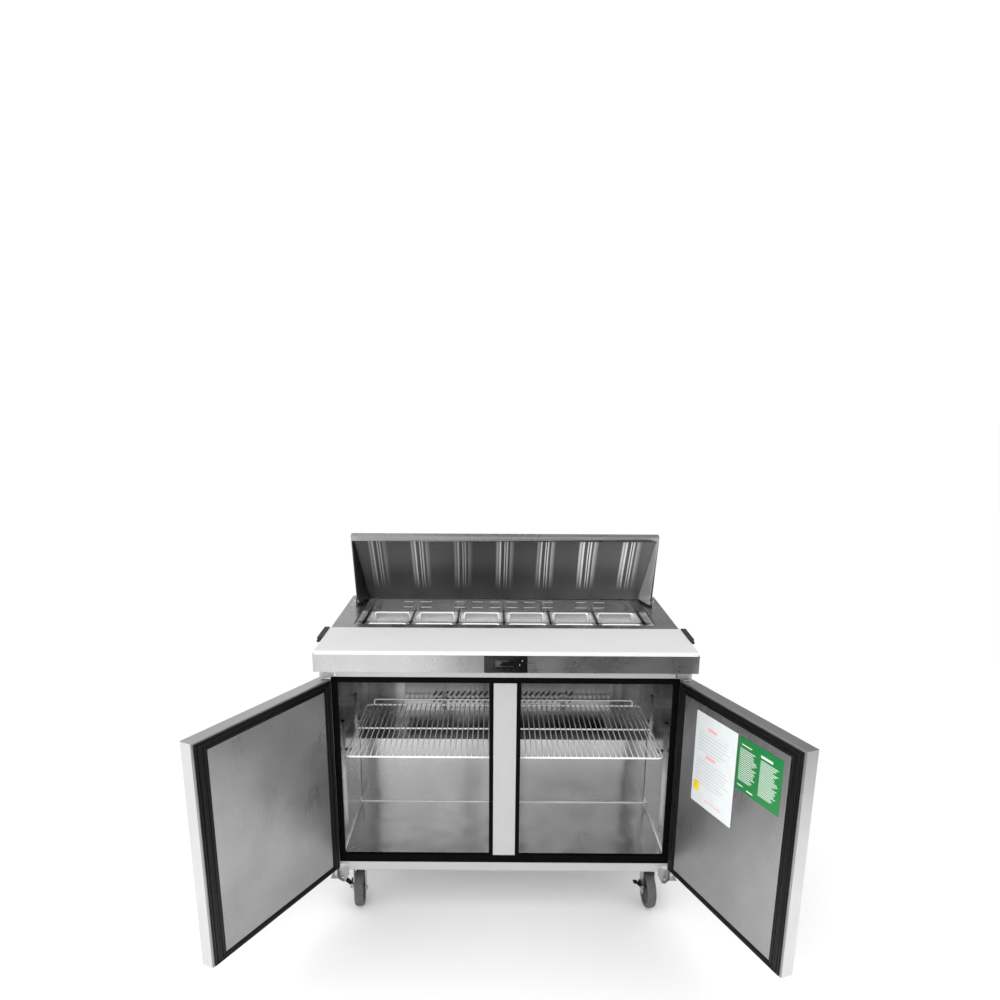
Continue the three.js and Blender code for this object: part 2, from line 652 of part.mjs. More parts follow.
// ---- condensing unit ----------------------------------------------------------------------------
{
  const base = BODY.base + GAP;
  const profile = [
    [0, base + 14], [70, base + 14], [76, base + 30], [76, base + 150], [64, base + 182],
    [38, base + 198], [0, base + 202],
  ].map(([r, z]) => new THREE.Vector2(r, z));
  const shell = new THREE.LatheGeometry(profile, 20).rotateX(Math.PI / 2).translate(-270, 245, 0);
  const feet = box(-366, -174, 185, 305, base, base + 4);
  const posts = [-340, -200].map((x) => box(x - 12, x + 12, 233, 257, base + 3, base + 40));
  piece("compressor", join(shell, feet, posts), blackPaint);
}
{
  const base = BODY.base + GAP;
  const { x, y, z } = condenserFan;
  const core = box(x - 170, x + 170, 305, 350, base + 10, 452);
  const grooves = [];
  for (let i = 0; i < 12; i++) {
    grooves.push(box(x - 158 + i * 27, x - 146 + i * 27, 340, 360, base + 20, 442));
  }
  const plates = [
    box(x - 176, x - 169, 296, 352, base, 458),
    box(x + 169, x + 176, 296, 352, base, 458),
  ];
  const shroud = cut(
    box(x - 172, x + 172, 296, 300, base + 6, 455),
    bar("y", condenserFan.radius + 12, 290, 310, x, z, 24),
  );
  const foot = box(x - 174, x + 174, 180, 350, base + 0.5, base + 4);
  const mast = box(x - 14, x + 14, 186, 190, base + 2, z);
  const motor = bar("y", 36, 186, y - 14, x, z);
  const shaft = bar("y", 4, y - 18, y + 12, x, z, 12);
  const unit = join(cut(core, grooves), plates, shroud, foot, mast, motor, shaft);
  piece("condenser_coil", unit, aluminium);
}
piece("condenser_fan", fanShape(condenserFan), blackPlastic);

// ---- casters ------------------------------------------------------------------------------------
// Drawn with the swivel axis on the group's origin and the wheel trailing towards -Y.
function forkShape(braked) {
  const axleY = -CASTER.trail;
  const axleZ = CASTER.radius;
  const outline = [[26, 147], [-34, 147]];
  for (let i = 0; i <= 4; i++) {
    const angle = Math.PI + (i / 4) * Math.PI;
    outline.push([axleY + 15 * Math.cos(angle), axleZ + 15 * Math.sin(angle)]);
  }
  const legs = [-1, 1].map((s) => alongX([...outline].reverse(), s * 19, s * 22.5));
  const head = bar("z", 33, 143, CASTER.plate, 0, 0, 16);
  const cap = box(-22.5, 22.5, -34, 26, 141, 147);
  const kingpin = bar("z", 6, CASTER.plate - 1, BODY.base - 0.5, 0, 0, 12);
  const axle = bar("x", 6, -26, 26, axleY, axleZ, 12);
  const fork = join(legs[0], legs[1], head, cap, kingpin, axle);
  if (!braked) return fork;
  const lugs = [axleY - 22, axleY + 18].map((y) => box(-32, -21, y, y + 4, 74, 90));
  const stay = box(-24, -21, axleY - 22, axleY + 22, 74, 90);
  const holes = bar("y", 2.6, axleY - 30, axleY + 30, -28, 82, 12);
  return cut(join(fork, stay, lugs), holes);
}

function pedalShape() {
  const axleY = -CASTER.trail;
  const barrel = bar("y", 3.6, axleY - 17.5, axleY + 17.5, -28, 82, 12);
  const pin = bar("y", 2.1, axleY - 21, axleY + 21, -28, 82, 12);
  const outline = [[-29, 83], [-42, 95], [-56, 97], [-56, 94], [-44, 92], [-31, 80]];
  const tread = alongY(outline, axleY - 14, axleY + 14);
  return join(barrel, pin, tread);
}

function wheelShape() {
  const { radius, width, trail } = CASTER;
  const half = width / 2;
  const profile = [
    [6.6, -18.5], [15, -18.5], [17, -10], [44, -10], [48, -half], [radius - 6, -half],
    [radius, -half + 8], [radius, half - 8], [radius - 6, half], [48, half], [44, 10], [17, 10],
    [15, 18.5], [6.6, 18.5], [6.6, -18.5],
  ].map(([r, x]) => new THREE.Vector2(r, x));
  return new THREE.LatheGeometry(profile, 20).rotateZ(-Math.PI / 2).translate(0, -trail, radius);
}

for (const [spot, [x, y]] of Object.entries(casterSpots)) {
  const caster = new THREE.Group();
  caster.position.set(x, y, 0);
  caster.rotation.z = THREE.MathUtils.degToRad(CASTER_YAW[spot]);
  root.add(caster);
  const braked = spot.startsWith("front");
  piece(`caster_fork_${spot}`, forkShape(braked), zinc, caster);
  piece(`caster_wheel_${spot}`, solid(wheelShape()), greyRubber, caster);
  if (braked) piece(`brake_pedal_${spot}`, pedalShape(), blackPlastic, caster);
}

// The frame's origin is the middle of the footprint, doors and lid open, at floor level.
const extent = new THREE.Box3().setFromObject(root, true);
const centre = extent.getCenter(new THREE.Vector3());
root.position.set(-centre.x, -centre.y, -extent.min.z);

const part = new THREE.Group();
part.add(root);
export default part;
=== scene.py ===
# A refrigerated sandwich prep table dressed for a studio picture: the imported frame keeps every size,
# and this script gives it fine shapes, surface finishes, lights and a camera.
import json
import math

import bpy
from mathutils import Matrix, Vector


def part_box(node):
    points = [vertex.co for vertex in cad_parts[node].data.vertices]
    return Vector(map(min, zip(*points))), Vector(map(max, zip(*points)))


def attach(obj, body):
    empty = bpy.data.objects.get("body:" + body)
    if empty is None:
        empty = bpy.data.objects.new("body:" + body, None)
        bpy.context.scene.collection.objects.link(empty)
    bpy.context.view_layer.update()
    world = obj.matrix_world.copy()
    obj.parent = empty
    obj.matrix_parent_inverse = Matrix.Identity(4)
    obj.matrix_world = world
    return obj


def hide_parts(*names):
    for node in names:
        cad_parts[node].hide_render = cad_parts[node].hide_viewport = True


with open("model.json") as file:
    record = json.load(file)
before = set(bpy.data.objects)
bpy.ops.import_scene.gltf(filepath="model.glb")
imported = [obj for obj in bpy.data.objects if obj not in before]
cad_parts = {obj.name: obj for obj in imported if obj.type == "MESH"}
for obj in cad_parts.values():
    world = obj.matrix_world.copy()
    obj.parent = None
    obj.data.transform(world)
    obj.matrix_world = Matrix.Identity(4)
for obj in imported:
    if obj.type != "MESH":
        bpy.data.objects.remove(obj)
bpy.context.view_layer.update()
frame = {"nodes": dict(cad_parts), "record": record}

MM = 0.001
SIDES = {"left": -1, "right": 1}

# ---- frames of the moving parts ------------------------------------------------------------------
# Shapes below are given in millimetres: in the cabinet's own frame, x from its middle and y from
# 332 mm behind its front face, or in the frame of a door, a caster or the lid.
FACE_TO_ORIGIN = 332 * MM
joints = {j["name"]: j for j in frame["record"]["behaviour"]["joints"]}
base_low, base_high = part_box("cabinet_bottom")
SCALE = Matrix.Scale(MM, 4)
CABINET = (
    Matrix.Translation(((base_low[0] + base_high[0]) / 2, base_low[1] + FACE_TO_ORIGIN, 0)) @ SCALE
)


def turned(place, degrees, axis):
    return Matrix.Translation(place) @ Matrix.Rotation(math.radians(degrees), 4, axis) @ SCALE


def door_frame(side):
    joint = joints[f"door_{side}_swing"]
    x, y, _ = joint["pos_m"]
    return turned((x, y, 0), -joint["range_deg"][0] * SIDES[side], "Z")


def lid_frame():
    joint = joints["lid_tilt"]
    return turned(joint["pos_m"], joint["range_deg"][0], "X")


def caster_frame(spot):
    x, y, _ = joints[f"caster_{spot}_swivel"]["pos_m"]
    along = joints[f"wheel_{spot}_spin"]["axis"]
    return turned((x, y, 0), math.degrees(math.atan2(along[1], along[0])), "Z")


# ---- materials -----------------------------------------------------------------------------------
FINISHES = {}


class Nodes:
    """A material's node tree with short ways to add and link nodes."""

    def __init__(self, name):
        self.material = bpy.data.materials.new(f"fine_{name}")
        FINISHES[name] = self.material
        self.material.use_nodes = True
        self.tree = self.material.node_tree
        self.shader = self.tree.nodes["Principled BSDF"]
        self.place = self.tree.nodes.new("ShaderNodeTexCoord").outputs["Object"]

    def add(self, kind, link=None, **values):
        node = self.tree.nodes.new(kind)
        for key, value in values.items():
            if key in node.bl_rna.properties and key not in node.inputs:
                setattr(node, key, value)
            else:
                node.inputs[key.replace("_", " ")].default_value = value
        for key, source in (link or {}).items():
            self.tree.links.new(source, node.inputs[key])
        return node

    def link(self, source, target):
        self.tree.links.new(source, self.shader.inputs[target])

    def set(self, **values):
        for key, value in values.items():
            self.shader.inputs[key.replace("_", " ")].default_value = value

    def noise(self, scale, detail=2.0, stretch=(1, 1, 1), roughness=0.5):
        mapping = self.add("ShaderNodeMapping", {"Vector": self.place}, Scale=stretch)
        node = self.add(
            "ShaderNodeTexNoise", {"Vector": mapping.outputs["Vector"]},
            Scale=scale, Detail=detail, Roughness=roughness,
        )
        return node.outputs["Fac"]

    def spread(self, source, low, high, start=0.3, end=0.7):
        node = self.add(
            "ShaderNodeMapRange", {"Value": source},
            **{"From_Min": start, "From_Max": end, "To_Min": low, "To_Max": high},
        )
        return node.outputs["Result"]

    def blend(self, factor, first, second):
        node = self.add("ShaderNodeMix", data_type="RGBA")
        if hasattr(factor, "node"):
            self.tree.links.new(factor, node.inputs["Factor"])
        else:
            node.inputs["Factor"].default_value = factor
        for socket, value in ((node.inputs[6], first), (node.inputs[7], second)):
            if hasattr(value, "node"):
                self.tree.links.new(value, socket)
            else:
                socket.default_value = (*value, 1)
        return node.outputs[2]

    def math(self, operation, first, second):
        node = self.add("ShaderNodeMath", operation=operation)
        for socket, value in zip(node.inputs, (first, second)):
            if hasattr(value, "node"):
                self.tree.links.new(value, socket)
            else:
                socket.default_value = value
        return node.outputs[0]

    def bump(self, height, strength, distance, before=None):
        links = {"Height": height}
        if before is not None:
            links["Normal"] = before
        node = self.add("ShaderNodeBump", links, Strength=strength, Distance=distance)
        return node.outputs["Normal"]


def grey(value, warm=0.0):
    return (value * (1 + warm), value, value * (1 - warm))


GRAINS = {"x": (0.005, 1, 1), "z": (1, 1, 0.005)}  # how far the brushed streaks are drawn out
GRAIN_SCALE, GRAIN_DETAIL, GRAIN_ROUGHNESS = 1200, 3.0, 0.6
GRAIN_HEIGHT = 0.0002
SMEARS = {"x": (0, 0.7, 0.7), "z": (1, 0, 0)}  # reflections smear across the grain


def brushed(name, tone, rough, along="x", metal=1.0, grain=0.12, cloud=0.08, wave=0.0, smear=0.6,
            dim=None, ripple=0.0, depth=0.82):
    """Brushed sheet: fine streaks along one axis, faint clouding, and a slight waviness.

    dim is the pair of heights between which painted shade darkens the sheet, and depth is how far it does.
    """
    n = Nodes(name)
    streaks = n.noise(GRAIN_SCALE, GRAIN_DETAIL, GRAINS[along], GRAIN_ROUGHNESS)
    clouds = n.noise(3.2, 3.0)
    smudges = n.noise(11, 4.0, (1, 1, 0.6), 0.6)
    base = n.blend(n.spread(streaks, 0, 1), grey(tone * (1 - grain)), grey(tone * (1 + grain / 2)))
    shade = n.blend(n.spread(clouds, 0, 1), grey(1 - cloud), grey(1.0))
    mixed = n.add("ShaderNodeMix", data_type="RGBA", blend_type="MULTIPLY")
    mixed.inputs["Factor"].default_value = 1.0
    n.tree.links.new(base, mixed.inputs[6])
    n.tree.links.new(shade, mixed.inputs[7])
    color = mixed.outputs[2]
    # painted shade: the sheet is blended towards near black between the two heights
    if dim:
        level = n.add("ShaderNodeSeparateXYZ", {"Vector": n.place}).outputs["Z"]
        color = n.blend(n.spread(level, 0, depth, *dim), color, grey(0.02))
    n.link(color, "Base Color")
    varied = n.math(
        "ADD", n.spread(streaks, rough - grain / 2, rough + grain / 2), n.spread(smudges, -0.04, 0.05)
    )
    n.link(varied, "Roughness")
    normal = n.bump(streaks, 0.4 * grain, GRAIN_HEIGHT)
    if wave:
        normal = n.bump(n.noise(4.5, 1.0, (1, 1, 0.35)), wave, 0.02, normal)
    if ripple:
        normal = n.bump(n.noise(7, 1.0, (1, 1, 0.1)), ripple, 0.02, normal)
    n.link(normal, "Normal")
    direction = n.add("ShaderNodeCombineXYZ", X=SMEARS[along][0], Y=SMEARS[along][1], Z=SMEARS[along][2])
    n.link(direction.outputs["Vector"], "Tangent")
    n.set(Metallic=metal, Anisotropic=smear)
    return n.material


def plated(name, tone, rough, spots=0.05):
    """Polished or bright-plated metal with faint clouding and pitting."""
    n = Nodes(name)
    clouds = n.noise(60, 4.0, roughness=0.65)
    n.link(n.blend(n.spread(clouds, 0, 1), grey(tone - spots), grey(tone + spots)), "Base Color")
    n.link(n.spread(clouds, rough, rough + 0.14), "Roughness")
    n.link(n.bump(n.noise(900, 2.0), 0.06, 0.0002), "Normal")
    n.set(Metallic=1.0)
    return n.material


def moulded(name, color, rough, grain=1500, depth=0.12, dirt=0.25, gloss=0.5):
    """Moulded plastic, rubber or paint: a fine texture with faint uneven tone and gloss."""
    n = Nodes(name)
    clouds = n.noise(25, 4.0, roughness=0.6)
    darker = tuple(c * (1 - dirt) for c in color)
    n.link(n.blend(n.spread(clouds, 0, 1), darker, color), "Base Color")
    n.link(n.spread(n.noise(70, 3.0), rough - 0.06, rough + 0.1), "Roughness")
    n.link(n.bump(n.noise(grain, 3.0), depth, 0.0003), "Normal")
    n.set(Specular_IOR_Level=gloss)
    return n.material


def cut_board():
    """White board plastic with a fine grain and faint knife marks that cross each other."""
    n = Nodes("board_plastic")
    marks = []
    for angle in (0.5, -0.35, 1.3):
        turned_place = n.add("ShaderNodeMapping", {"Vector": n.place}, Rotation=(0, 0, angle))
        stretched = n.add(
            "ShaderNodeMapping", {"Vector": turned_place.outputs["Vector"]}, Scale=(6, 420, 1)
        )
        node = n.add("ShaderNodeTexNoise", {"Vector": stretched.outputs["Vector"]}, Scale=1.0, Detail=1.0)
        marks.append(n.spread(node.outputs["Fac"], 0, 1, 0.68, 0.8))
    scratches = n.math("MAXIMUM", n.math("MAXIMUM", marks[0], marks[1]), marks[2])
    stain = n.noise(2.5, 4.0)
    plain = n.blend(n.spread(stain, 0, 1), (0.60, 0.60, 0.595), (0.635, 0.635, 0.635))
    n.link(n.blend(n.math("MULTIPLY", scratches, 0.35), plain, (0.52, 0.52, 0.515)), "Base Color")
    n.link(n.spread(n.noise(40, 3.0), 0.45, 0.6), "Roughness")
    grain = n.bump(n.noise(1400, 2.0), 0.05, 0.0003)
    n.link(n.bump(n.math("MULTIPLY", scratches, -1.0), 0.25, 0.0003, grain), "Normal")
    n.set(Subsurface_Weight=0.05, Subsurface_Scale=0.004, Specular_IOR_Level=0.12)
    return n.material


def finned(name, tone, pitch):
    """Thin aluminium fins side by side along x, with painted shade darkening the gaps between them."""
    n = Nodes(name)
    wave = n.add(
        "ShaderNodeTexWave", {"Vector": n.place}, wave_type="BANDS", bands_direction="X",
        Scale=1 / (pitch * MM * 20), Distortion=0.6, Detail=1.0,
    ).outputs["Fac"]
    dust = n.noise(12, 4.0)
    # painted shade: every other band is darkened to stand for the gaps between fins
    metal = n.blend(wave, grey(tone * 0.45), grey(tone))
    n.link(n.blend(n.spread(dust, 0, 0.35), metal, (0.06, 0.058, 0.054)), "Base Color")
    n.link(n.bump(wave, 0.6, 0.001), "Normal")
    n.link(n.spread(dust, 0.35, 0.6), "Roughness")
    n.set(Metallic=0.85)
    return n.material


# The lid's bands are painted reflections of the pans' rims on its dark inside.
BAND_PITCH = 0.885  # the bands stand a little closer together than the pans


def painted_pan_reflections(name, dark, bright):
    """The lid's inside: brushed sheet painted dark as shade, with upright bands of painted reflection of the
    pans, one group to each pan.
    """
    n = Nodes(name)
    split = n.add("ShaderNodeSeparateXYZ", {"Vector": n.place})
    low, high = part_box("lid_liner")
    pitch = BAND_PITCH * (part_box("pan_rear_2")[0][0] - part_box("pan_rear_1")[0][0])
    start = (low[0] + high[0]) / 2
    drift = n.spread(n.noise(2.2, 2.0, (1, 0.2, 0.5)), -0.05, 0.05, 0.25, 0.75)
    along = n.math("DIVIDE", n.math("SUBTRACT", split.outputs["X"], start), pitch)
    place = n.math("FRACT", n.math("ADD", along, drift), 0)

    def peak(rise_from, top, fall_to):
        return n.math("MULTIPLY", n.spread(place, 0, 1, rise_from, top), n.spread(place, 1, 0, top, fall_to))

    bands = n.math("MAXIMUM", peak(0.84, 0.875, 0.90), peak(0.965, 0.985, 0.999))
    bands = n.math("MAXIMUM", bands, n.math("MULTIPLY", peak(0.02, 0.035, 0.07), 0.8))
    bands = n.math("MAXIMUM", bands, n.math("MULTIPLY", peak(0.10, 0.12, 0.22), 0.3))
    bands = n.math("MAXIMUM", bands, n.math("MULTIPLY", peak(0.76, 0.80, 0.86), 0.4))
    uneven = n.spread(n.noise(4, 1.0, (1, 0.05, 0.05)), 0.5, 1.4, 0.35, 0.6)
    height = high[2] - low[2]
    # the painted reflections fade out towards the lid's bottom
    fade = n.spread(split.outputs["Z"], 0, 1, low[2] + 0.16 * height, low[2] + 0.42 * height)
    # the painted reflections grow stronger towards the right
    reach = n.spread(split.outputs["X"], 0.35, 1.35, low[0], 0.4 * high[0])
    sheen = n.math("MULTIPLY", n.math("MULTIPLY", n.math("MULTIPLY", bands, uneven), fade), reach)
    # faint random clouding, plus painted light that brightens the sheet towards the right
    haze_and_painted_light = n.math(
        "ADD", n.spread(n.noise(3, 2.0, (1, 0.1, 0.4)), 0, 0.07),
        n.spread(split.outputs["X"], 0, 0.12, 0.2, high[0]),
    )
    n.link(n.blend(n.math("ADD", sheen, haze_and_painted_light), grey(dark), grey(bright)), "Base Color")
    streaks = n.noise(GRAIN_SCALE, GRAIN_DETAIL, GRAINS["x"], GRAIN_ROUGHNESS)
    n.link(n.spread(streaks, 0.27, 0.35), "Roughness")
    n.link(n.bump(streaks, 0.1, GRAIN_HEIGHT), "Normal")
    n.set(Metallic=0.6)
    return n.material


def rows_of_bars(n, across, up, pitch, thick, length):
    """1 inside level bars that stand one pitch apart and end at uneven lengths, else 0."""
    line = n.math("FRACT", n.math("DIVIDE", up, pitch), 0)
    bar = n.math("LESS_THAN", line, thick)
    number = n.math("FLOOR", n.math("DIVIDE", up, pitch), 0)
    uneven = n.math("FRACT", n.math("MULTIPLY", n.math("SINE", n.math("MULTIPLY", number, 12.9), 0), 43.7), 0)
    end = n.math("MULTIPLY", n.math("ADD", n.math("MULTIPLY", uneven, 0.3), 0.7), length)
    return n.math("MULTIPLY", bar, n.math("LESS_THAN", across, end))


# Finishes that only CAD nodes wear are found by name in FINISHES; the rest are named here too.
brushed("steel", 0.53, 0.28, grain=0.03, wave=0.06)
steel_mirror = brushed("steel_mirror", 0.98, 0.14, metal=0.72, grain=0.05, smear=0.2)
brushed("steel_well", 0.42, 0.2, grain=0.06, wave=0.1)
# Painted shade: the pan dividers are near black to stand for the shade in the gaps between the pans.
brushed("steel_gap_shade", 0.07, 0.25, grain=0.08)
# Painted shade: a dark copy of the steel for the lid's shaded left end wall.
steel_shade = brushed("steel_shade", 0.10, 0.3)
brushed("steel_satin", 0.56, 0.5, metal=0.55, grain=0.04, cloud=0.04, smear=0.2)
# Painted shade: the doors' inner panels darken towards the bottom.
brushed(
    "steel_panel", 0.58, 0.30, "z", grain=0.05, cloud=0.25, wave=0.2, dim=(0.56, 0.16), depth=0.26,
)
brushed("steel_door", 0.72, 0.32, "z", grain=0.06)
# Painted shade and painted reflection: the lid's inside is toned near black, with bright bands standing for
# the pans' reflections.
painted_pan_reflections("steel_lid", 0.05, 1.0)
# Painted shade: the cabinet's inside and the evaporator cover darken towards the top, under the worktop.
inner_steel = brushed(
    "inner_steel", 0.64, 0.22, grain=0.02, ripple=0.3, smear=0.8, dim=(0.47, 0.68), depth=0.94,
)
chrome = plated("chrome", 0.60, 0.14)
zinc = plated("zinc", 0.50, 0.24, 0.1)
black_plastic = moulded("black_plastic", (0.006, 0.006, 0.0065), 0.45, gloss=0.25)
moulded("black_trim", (0.003, 0.003, 0.0032), 0.6, gloss=0.03)
panel_plastic = moulded("panel_plastic", (0.005, 0.005, 0.0055), 0.22, depth=0.04, gloss=0.35)
seal_rubber = moulded("seal_rubber", (0.003, 0.003, 0.0032), 0.38, grain=700, depth=0.05, gloss=0.2)
wheel_rubber = moulded("wheel_rubber", (0.10, 0.10, 0.105), 0.6, grain=500, dirt=0.35, gloss=0.3)
hub_plastic = moulded("hub_plastic", (0.045, 0.045, 0.048), 0.5)
moulded("grey_plastic", (0.032, 0.032, 0.034), 0.5, gloss=0.25)
cut_board()
shelf_coat = moulded("shelf_coat", (0.95, 0.95, 0.94), 0.32, grain=300, depth=0.1, dirt=0.05)
bead = moulded("bead", (0.95, 0.95, 0.94), 0.45, grain=300, dirt=0.06)
moulded("black_paint", (0.012, 0.012, 0.013), 0.36, grain=350, depth=0.2)
# Painted shade: the coils are toned dark to read as shaded recesses.
finned("fins", 0.12, 2.4)

CAD_FINISH = {
    "steel": [
        "worktop", "rear_hood", "lid_skin", "cabinet_left_panel", "cabinet_right_panel", "rear_panel",
    ],
    "steel_well": ["well_liner"],
    "steel_gap_shade": ["pan_dividers"],
    "steel_door": ["door_left_shell", "door_right_shell"],
    "steel_satin": ["face_frame", "mullion", "cabinet_bottom"],
    "steel_panel": ["door_left_inner", "door_right_inner"],
    "steel_lid": ["lid_liner"],
    "inner_steel": ["liner", "evaporator_cover"],
    "chrome": [
        "hinge_left_top", "hinge_left_bottom", "hinge_right_top", "hinge_right_bottom",
        "lid_bracket_left", "lid_bracket_right",
    ],
    "zinc": [f"caster_fork_{end}_{side}" for end in ("front", "rear") for side in SIDES],
    "black_plastic": ["evaporator_fan", "condenser_fan"],
    "black_trim": ["breaker_frame"],
    "grey_plastic": ["board_bracket_left", "board_bracket_right"],
    "board_plastic": ["cutting_board"],
    "fins": ["evaporator_coil", "condenser_coil"],
    "black_paint": ["compressor"],
}
EDGE = {
    "cutting_board": 1.2, "board_bracket_left": 1.4, "board_bracket_right": 1.4,
    "breaker_frame": 1.0, "compressor": 1.5,
}
PLAIN_EDGE = 0.5
WELD_GAP = 0.02 * MM
SHARP_ANGLE = 40  # degrees; only edges sharper than this are rounded


def dress(node, material_name):
    obj = frame["nodes"][node]
    obj.data.materials.clear()
    obj.data.materials.append(FINISHES[material_name])
    weld = obj.modifiers.new("weld", "WELD")
    weld.merge_threshold = WELD_GAP
    edge = obj.modifiers.new("edge", "BEVEL")
    edge.width = EDGE.get(node, PLAIN_EDGE) * MM
    edge.segments = 2
    edge.limit_method = "ANGLE"
    edge.angle_limit = math.radians(SHARP_ANGLE)


for finish_name, names in CAD_FINISH.items():
    for cad_name in names:
        dress(cad_name, finish_name)


# ---- shapes --------------------------------------------------------------------------------------
# How a point that was made along z is turned to lie along another axis.
ALONG = {"z": lambda p: p, "x": lambda p: (p[2], p[0], p[1]), "y": lambda p: (p[1], p[2], p[0])}


def revolve(profile, count=32, axis="z"):
    """A closed solid turned round an axis: the profile runs as (radius, height) from end to end."""
    points, faces, rings = [], [], []
    for radius, height in profile:
        if radius < 1e-6:
            rings.append([len(points)])
            points.append((0, 0, height))
            continue
        rings.append(list(range(len(points), len(points) + count)))
        for i in range(count):
            angle = 2 * math.pi * i / count
            points.append((radius * math.cos(angle), radius * math.sin(angle), height))
    for low, high in zip(rings, rings[1:]):
        for i in range(count):
            j = (i + 1) % count
            if len(low) == 1:
                faces.append((low[0], high[j], high[i]))
            elif len(high) == 1:
                faces.append((low[i], low[j], high[0]))
            else:
                faces.append((low[i], low[j], high[j], high[i]))
    if len(rings[0]) > 1:
        faces.append(tuple(reversed(rings[0])))
    if len(rings[-1]) > 1:
        faces.append(tuple(rings[-1]))
    return [ALONG[axis](p) for p in points], faces


def ring_solid(profile, count=48, axis="x"):
    """A closed ring: the profile is a closed loop of (radius, height) round the axis."""
    points, faces = [], []
    size = len(profile)
    for i in range(count):
        angle = 2 * math.pi * i / count
        for radius, height in profile:
            points.append((radius * math.cos(angle), radius * math.sin(angle), height))
    for i in range(count):
        for k in range(size):
            a, b = i * size + k, i * size + (k + 1) % size
            c, d = (i + 1) % count * size + (k + 1) % size, (i + 1) % count * size + k
            faces.append((a, d, c, b))
    return [ALONG[axis](p) for p in points], faces


def fillet(corners, radius, steps=5, closed=False):
    """A path through the corners, with each corner rounded."""
    corners = [Vector(c) for c in corners]
    count = len(corners)
    path = []
    for i, here in enumerate(corners):
        if not closed and i in (0, count - 1):
            path.append(here)
            continue
        before, after = corners[i - 1] - here, corners[(i + 1) % count] - here
        room = min(radius, before.length * 0.45, after.length * 0.45)
        start, end = here + before.normalized() * room, here + after.normalized() * room
        for k in range(steps + 1):
            t = k / steps
            path.append(start * (1 - t) ** 2 + here * 2 * t * (1 - t) + end * t ** 2)
    return path


def tube(path, radius, sides=10, closed=False, flat=1.0):
    """A round wire along a path, with rounded ends if it isn't closed; flat squeezes its height."""
    path = [Vector(p) for p in path]
    count = len(path)
    points, faces, rings = [], [], []

    def tangent(i):
        if closed:
            return (path[(i + 1) % count] - path[i - 1]).normalized()
        return (path[min(i + 1, count - 1)] - path[max(i - 1, 0)]).normalized()

    aim = tangent(0)
    side = aim.orthogonal().normalized() if abs(aim.z) > 0.9 else aim.cross(Vector((0, 0, 1))).normalized()
    stations = []
    for i in range(count):
        now = tangent(i)
        side = (side - now * side.dot(now)).normalized()
        stations.append((path[i], side.copy(), now.cross(side), 1.0))
    if not closed:
        first, last = stations[0], stations[-1]
        for share, size in ((0.6, 0.8), (1.0, 0.35)):
            stations.insert(0, (first[0] - tangent(0) * radius * share * 0.6, first[1], first[2], size))
            stations.append((last[0] + tangent(count - 1) * radius * share * 0.6, last[1], last[2], size))
    for centre, across, up, size in stations:
        rings.append(len(points))
        for k in range(sides):
            angle = 2 * math.pi * k / sides
            points.append(
                centre + (across * math.cos(angle) + up * math.sin(angle) * flat) * radius * size
            )
    pairs = list(zip(rings, rings[1:])) + ([(rings[-1], rings[0])] if closed else [])
    for low, high in pairs:
        for k in range(sides):
            m = (k + 1) % sides
            faces.append((low + k, low + m, high + m, high + k))
    if not closed:
        faces.append(tuple(range(sides - 1, -1, -1)))
        faces.append(tuple(rings[-1] + k for k in range(sides)))
    return [tuple(p) for p in points], faces


def loft(rings):
    """A closed solid through rings with the same number of points."""
    count = len(rings[0])
    points = [p for ring in rings for p in ring]
    faces = []
    for level in range(len(rings) - 1):
        for i in range(count):
            j = (i + 1) % count
            a, b = level * count + i, level * count + j
            faces.append((a, b, b + count, a + count))
    last = (len(rings) - 1) * count
    faces.append(tuple(range(count - 1, -1, -1)))
    faces.append(tuple(last + i for i in range(count)))
    return points, faces


def rounded_ring(half_x, half_y, radius, z, steps=7):
    points = []
    for corner, (sx, sy) in enumerate(((1, 1), (-1, 1), (-1, -1), (1, -1))):
        for i in range(steps + 1):
            angle = (corner + i / steps) * math.pi / 2
            points.append((
                sx * (half_x - radius) + radius * math.cos(angle),
                sy * (half_y - radius) + radius * math.sin(angle), z,
            ))
    return points


def pad(half_x, half_y, radius, low, high, edge=0.6):
    """A flat plate with rounded corners and softened edges."""
    soft = [(1.0, low), (0.3, low + 0.3 * edge), (0, low + edge), (0, high - edge),
            (0.3, high - 0.3 * edge), (1.0, high)]
    return loft([
        rounded_ring(half_x - s * edge, half_y - s * edge, max(radius - s * edge, 0.2), z)
        for s, z in soft
    ])


def block(x0, x1, y0, y1, z0, z1, edge=0.6, radius=None):
    points, faces = pad(
        (x1 - x0) / 2, (y1 - y0) / 2, edge if radius is None else radius, z0, z1, edge
    )
    return moved((points, faces), ((x0 + x1) / 2, (y0 + y1) / 2, 0))


def moved(shape, by=(0, 0, 0), turn=None):
    points, faces = shape
    matrix = Matrix.Translation(by) @ (turn or Matrix())
    return [tuple(matrix @ Vector(p)) for p in points], faces


def hexagon(across, low, high, axis="z"):
    """A bolt head or nut with chamfered corners."""
    radius = across / math.sqrt(3)
    rings = []
    for size, z in ((0.93, low), (1, low + 0.4), (1, high - 0.6), (0.9, high)):
        rings.append([
            (radius * size * math.cos(math.radians(60 * i + 30)),
             radius * size * math.sin(math.radians(60 * i + 30)), z) for i in range(6)
        ])
    points, faces = loft(rings)
    return [ALONG[axis](p) for p in points], faces


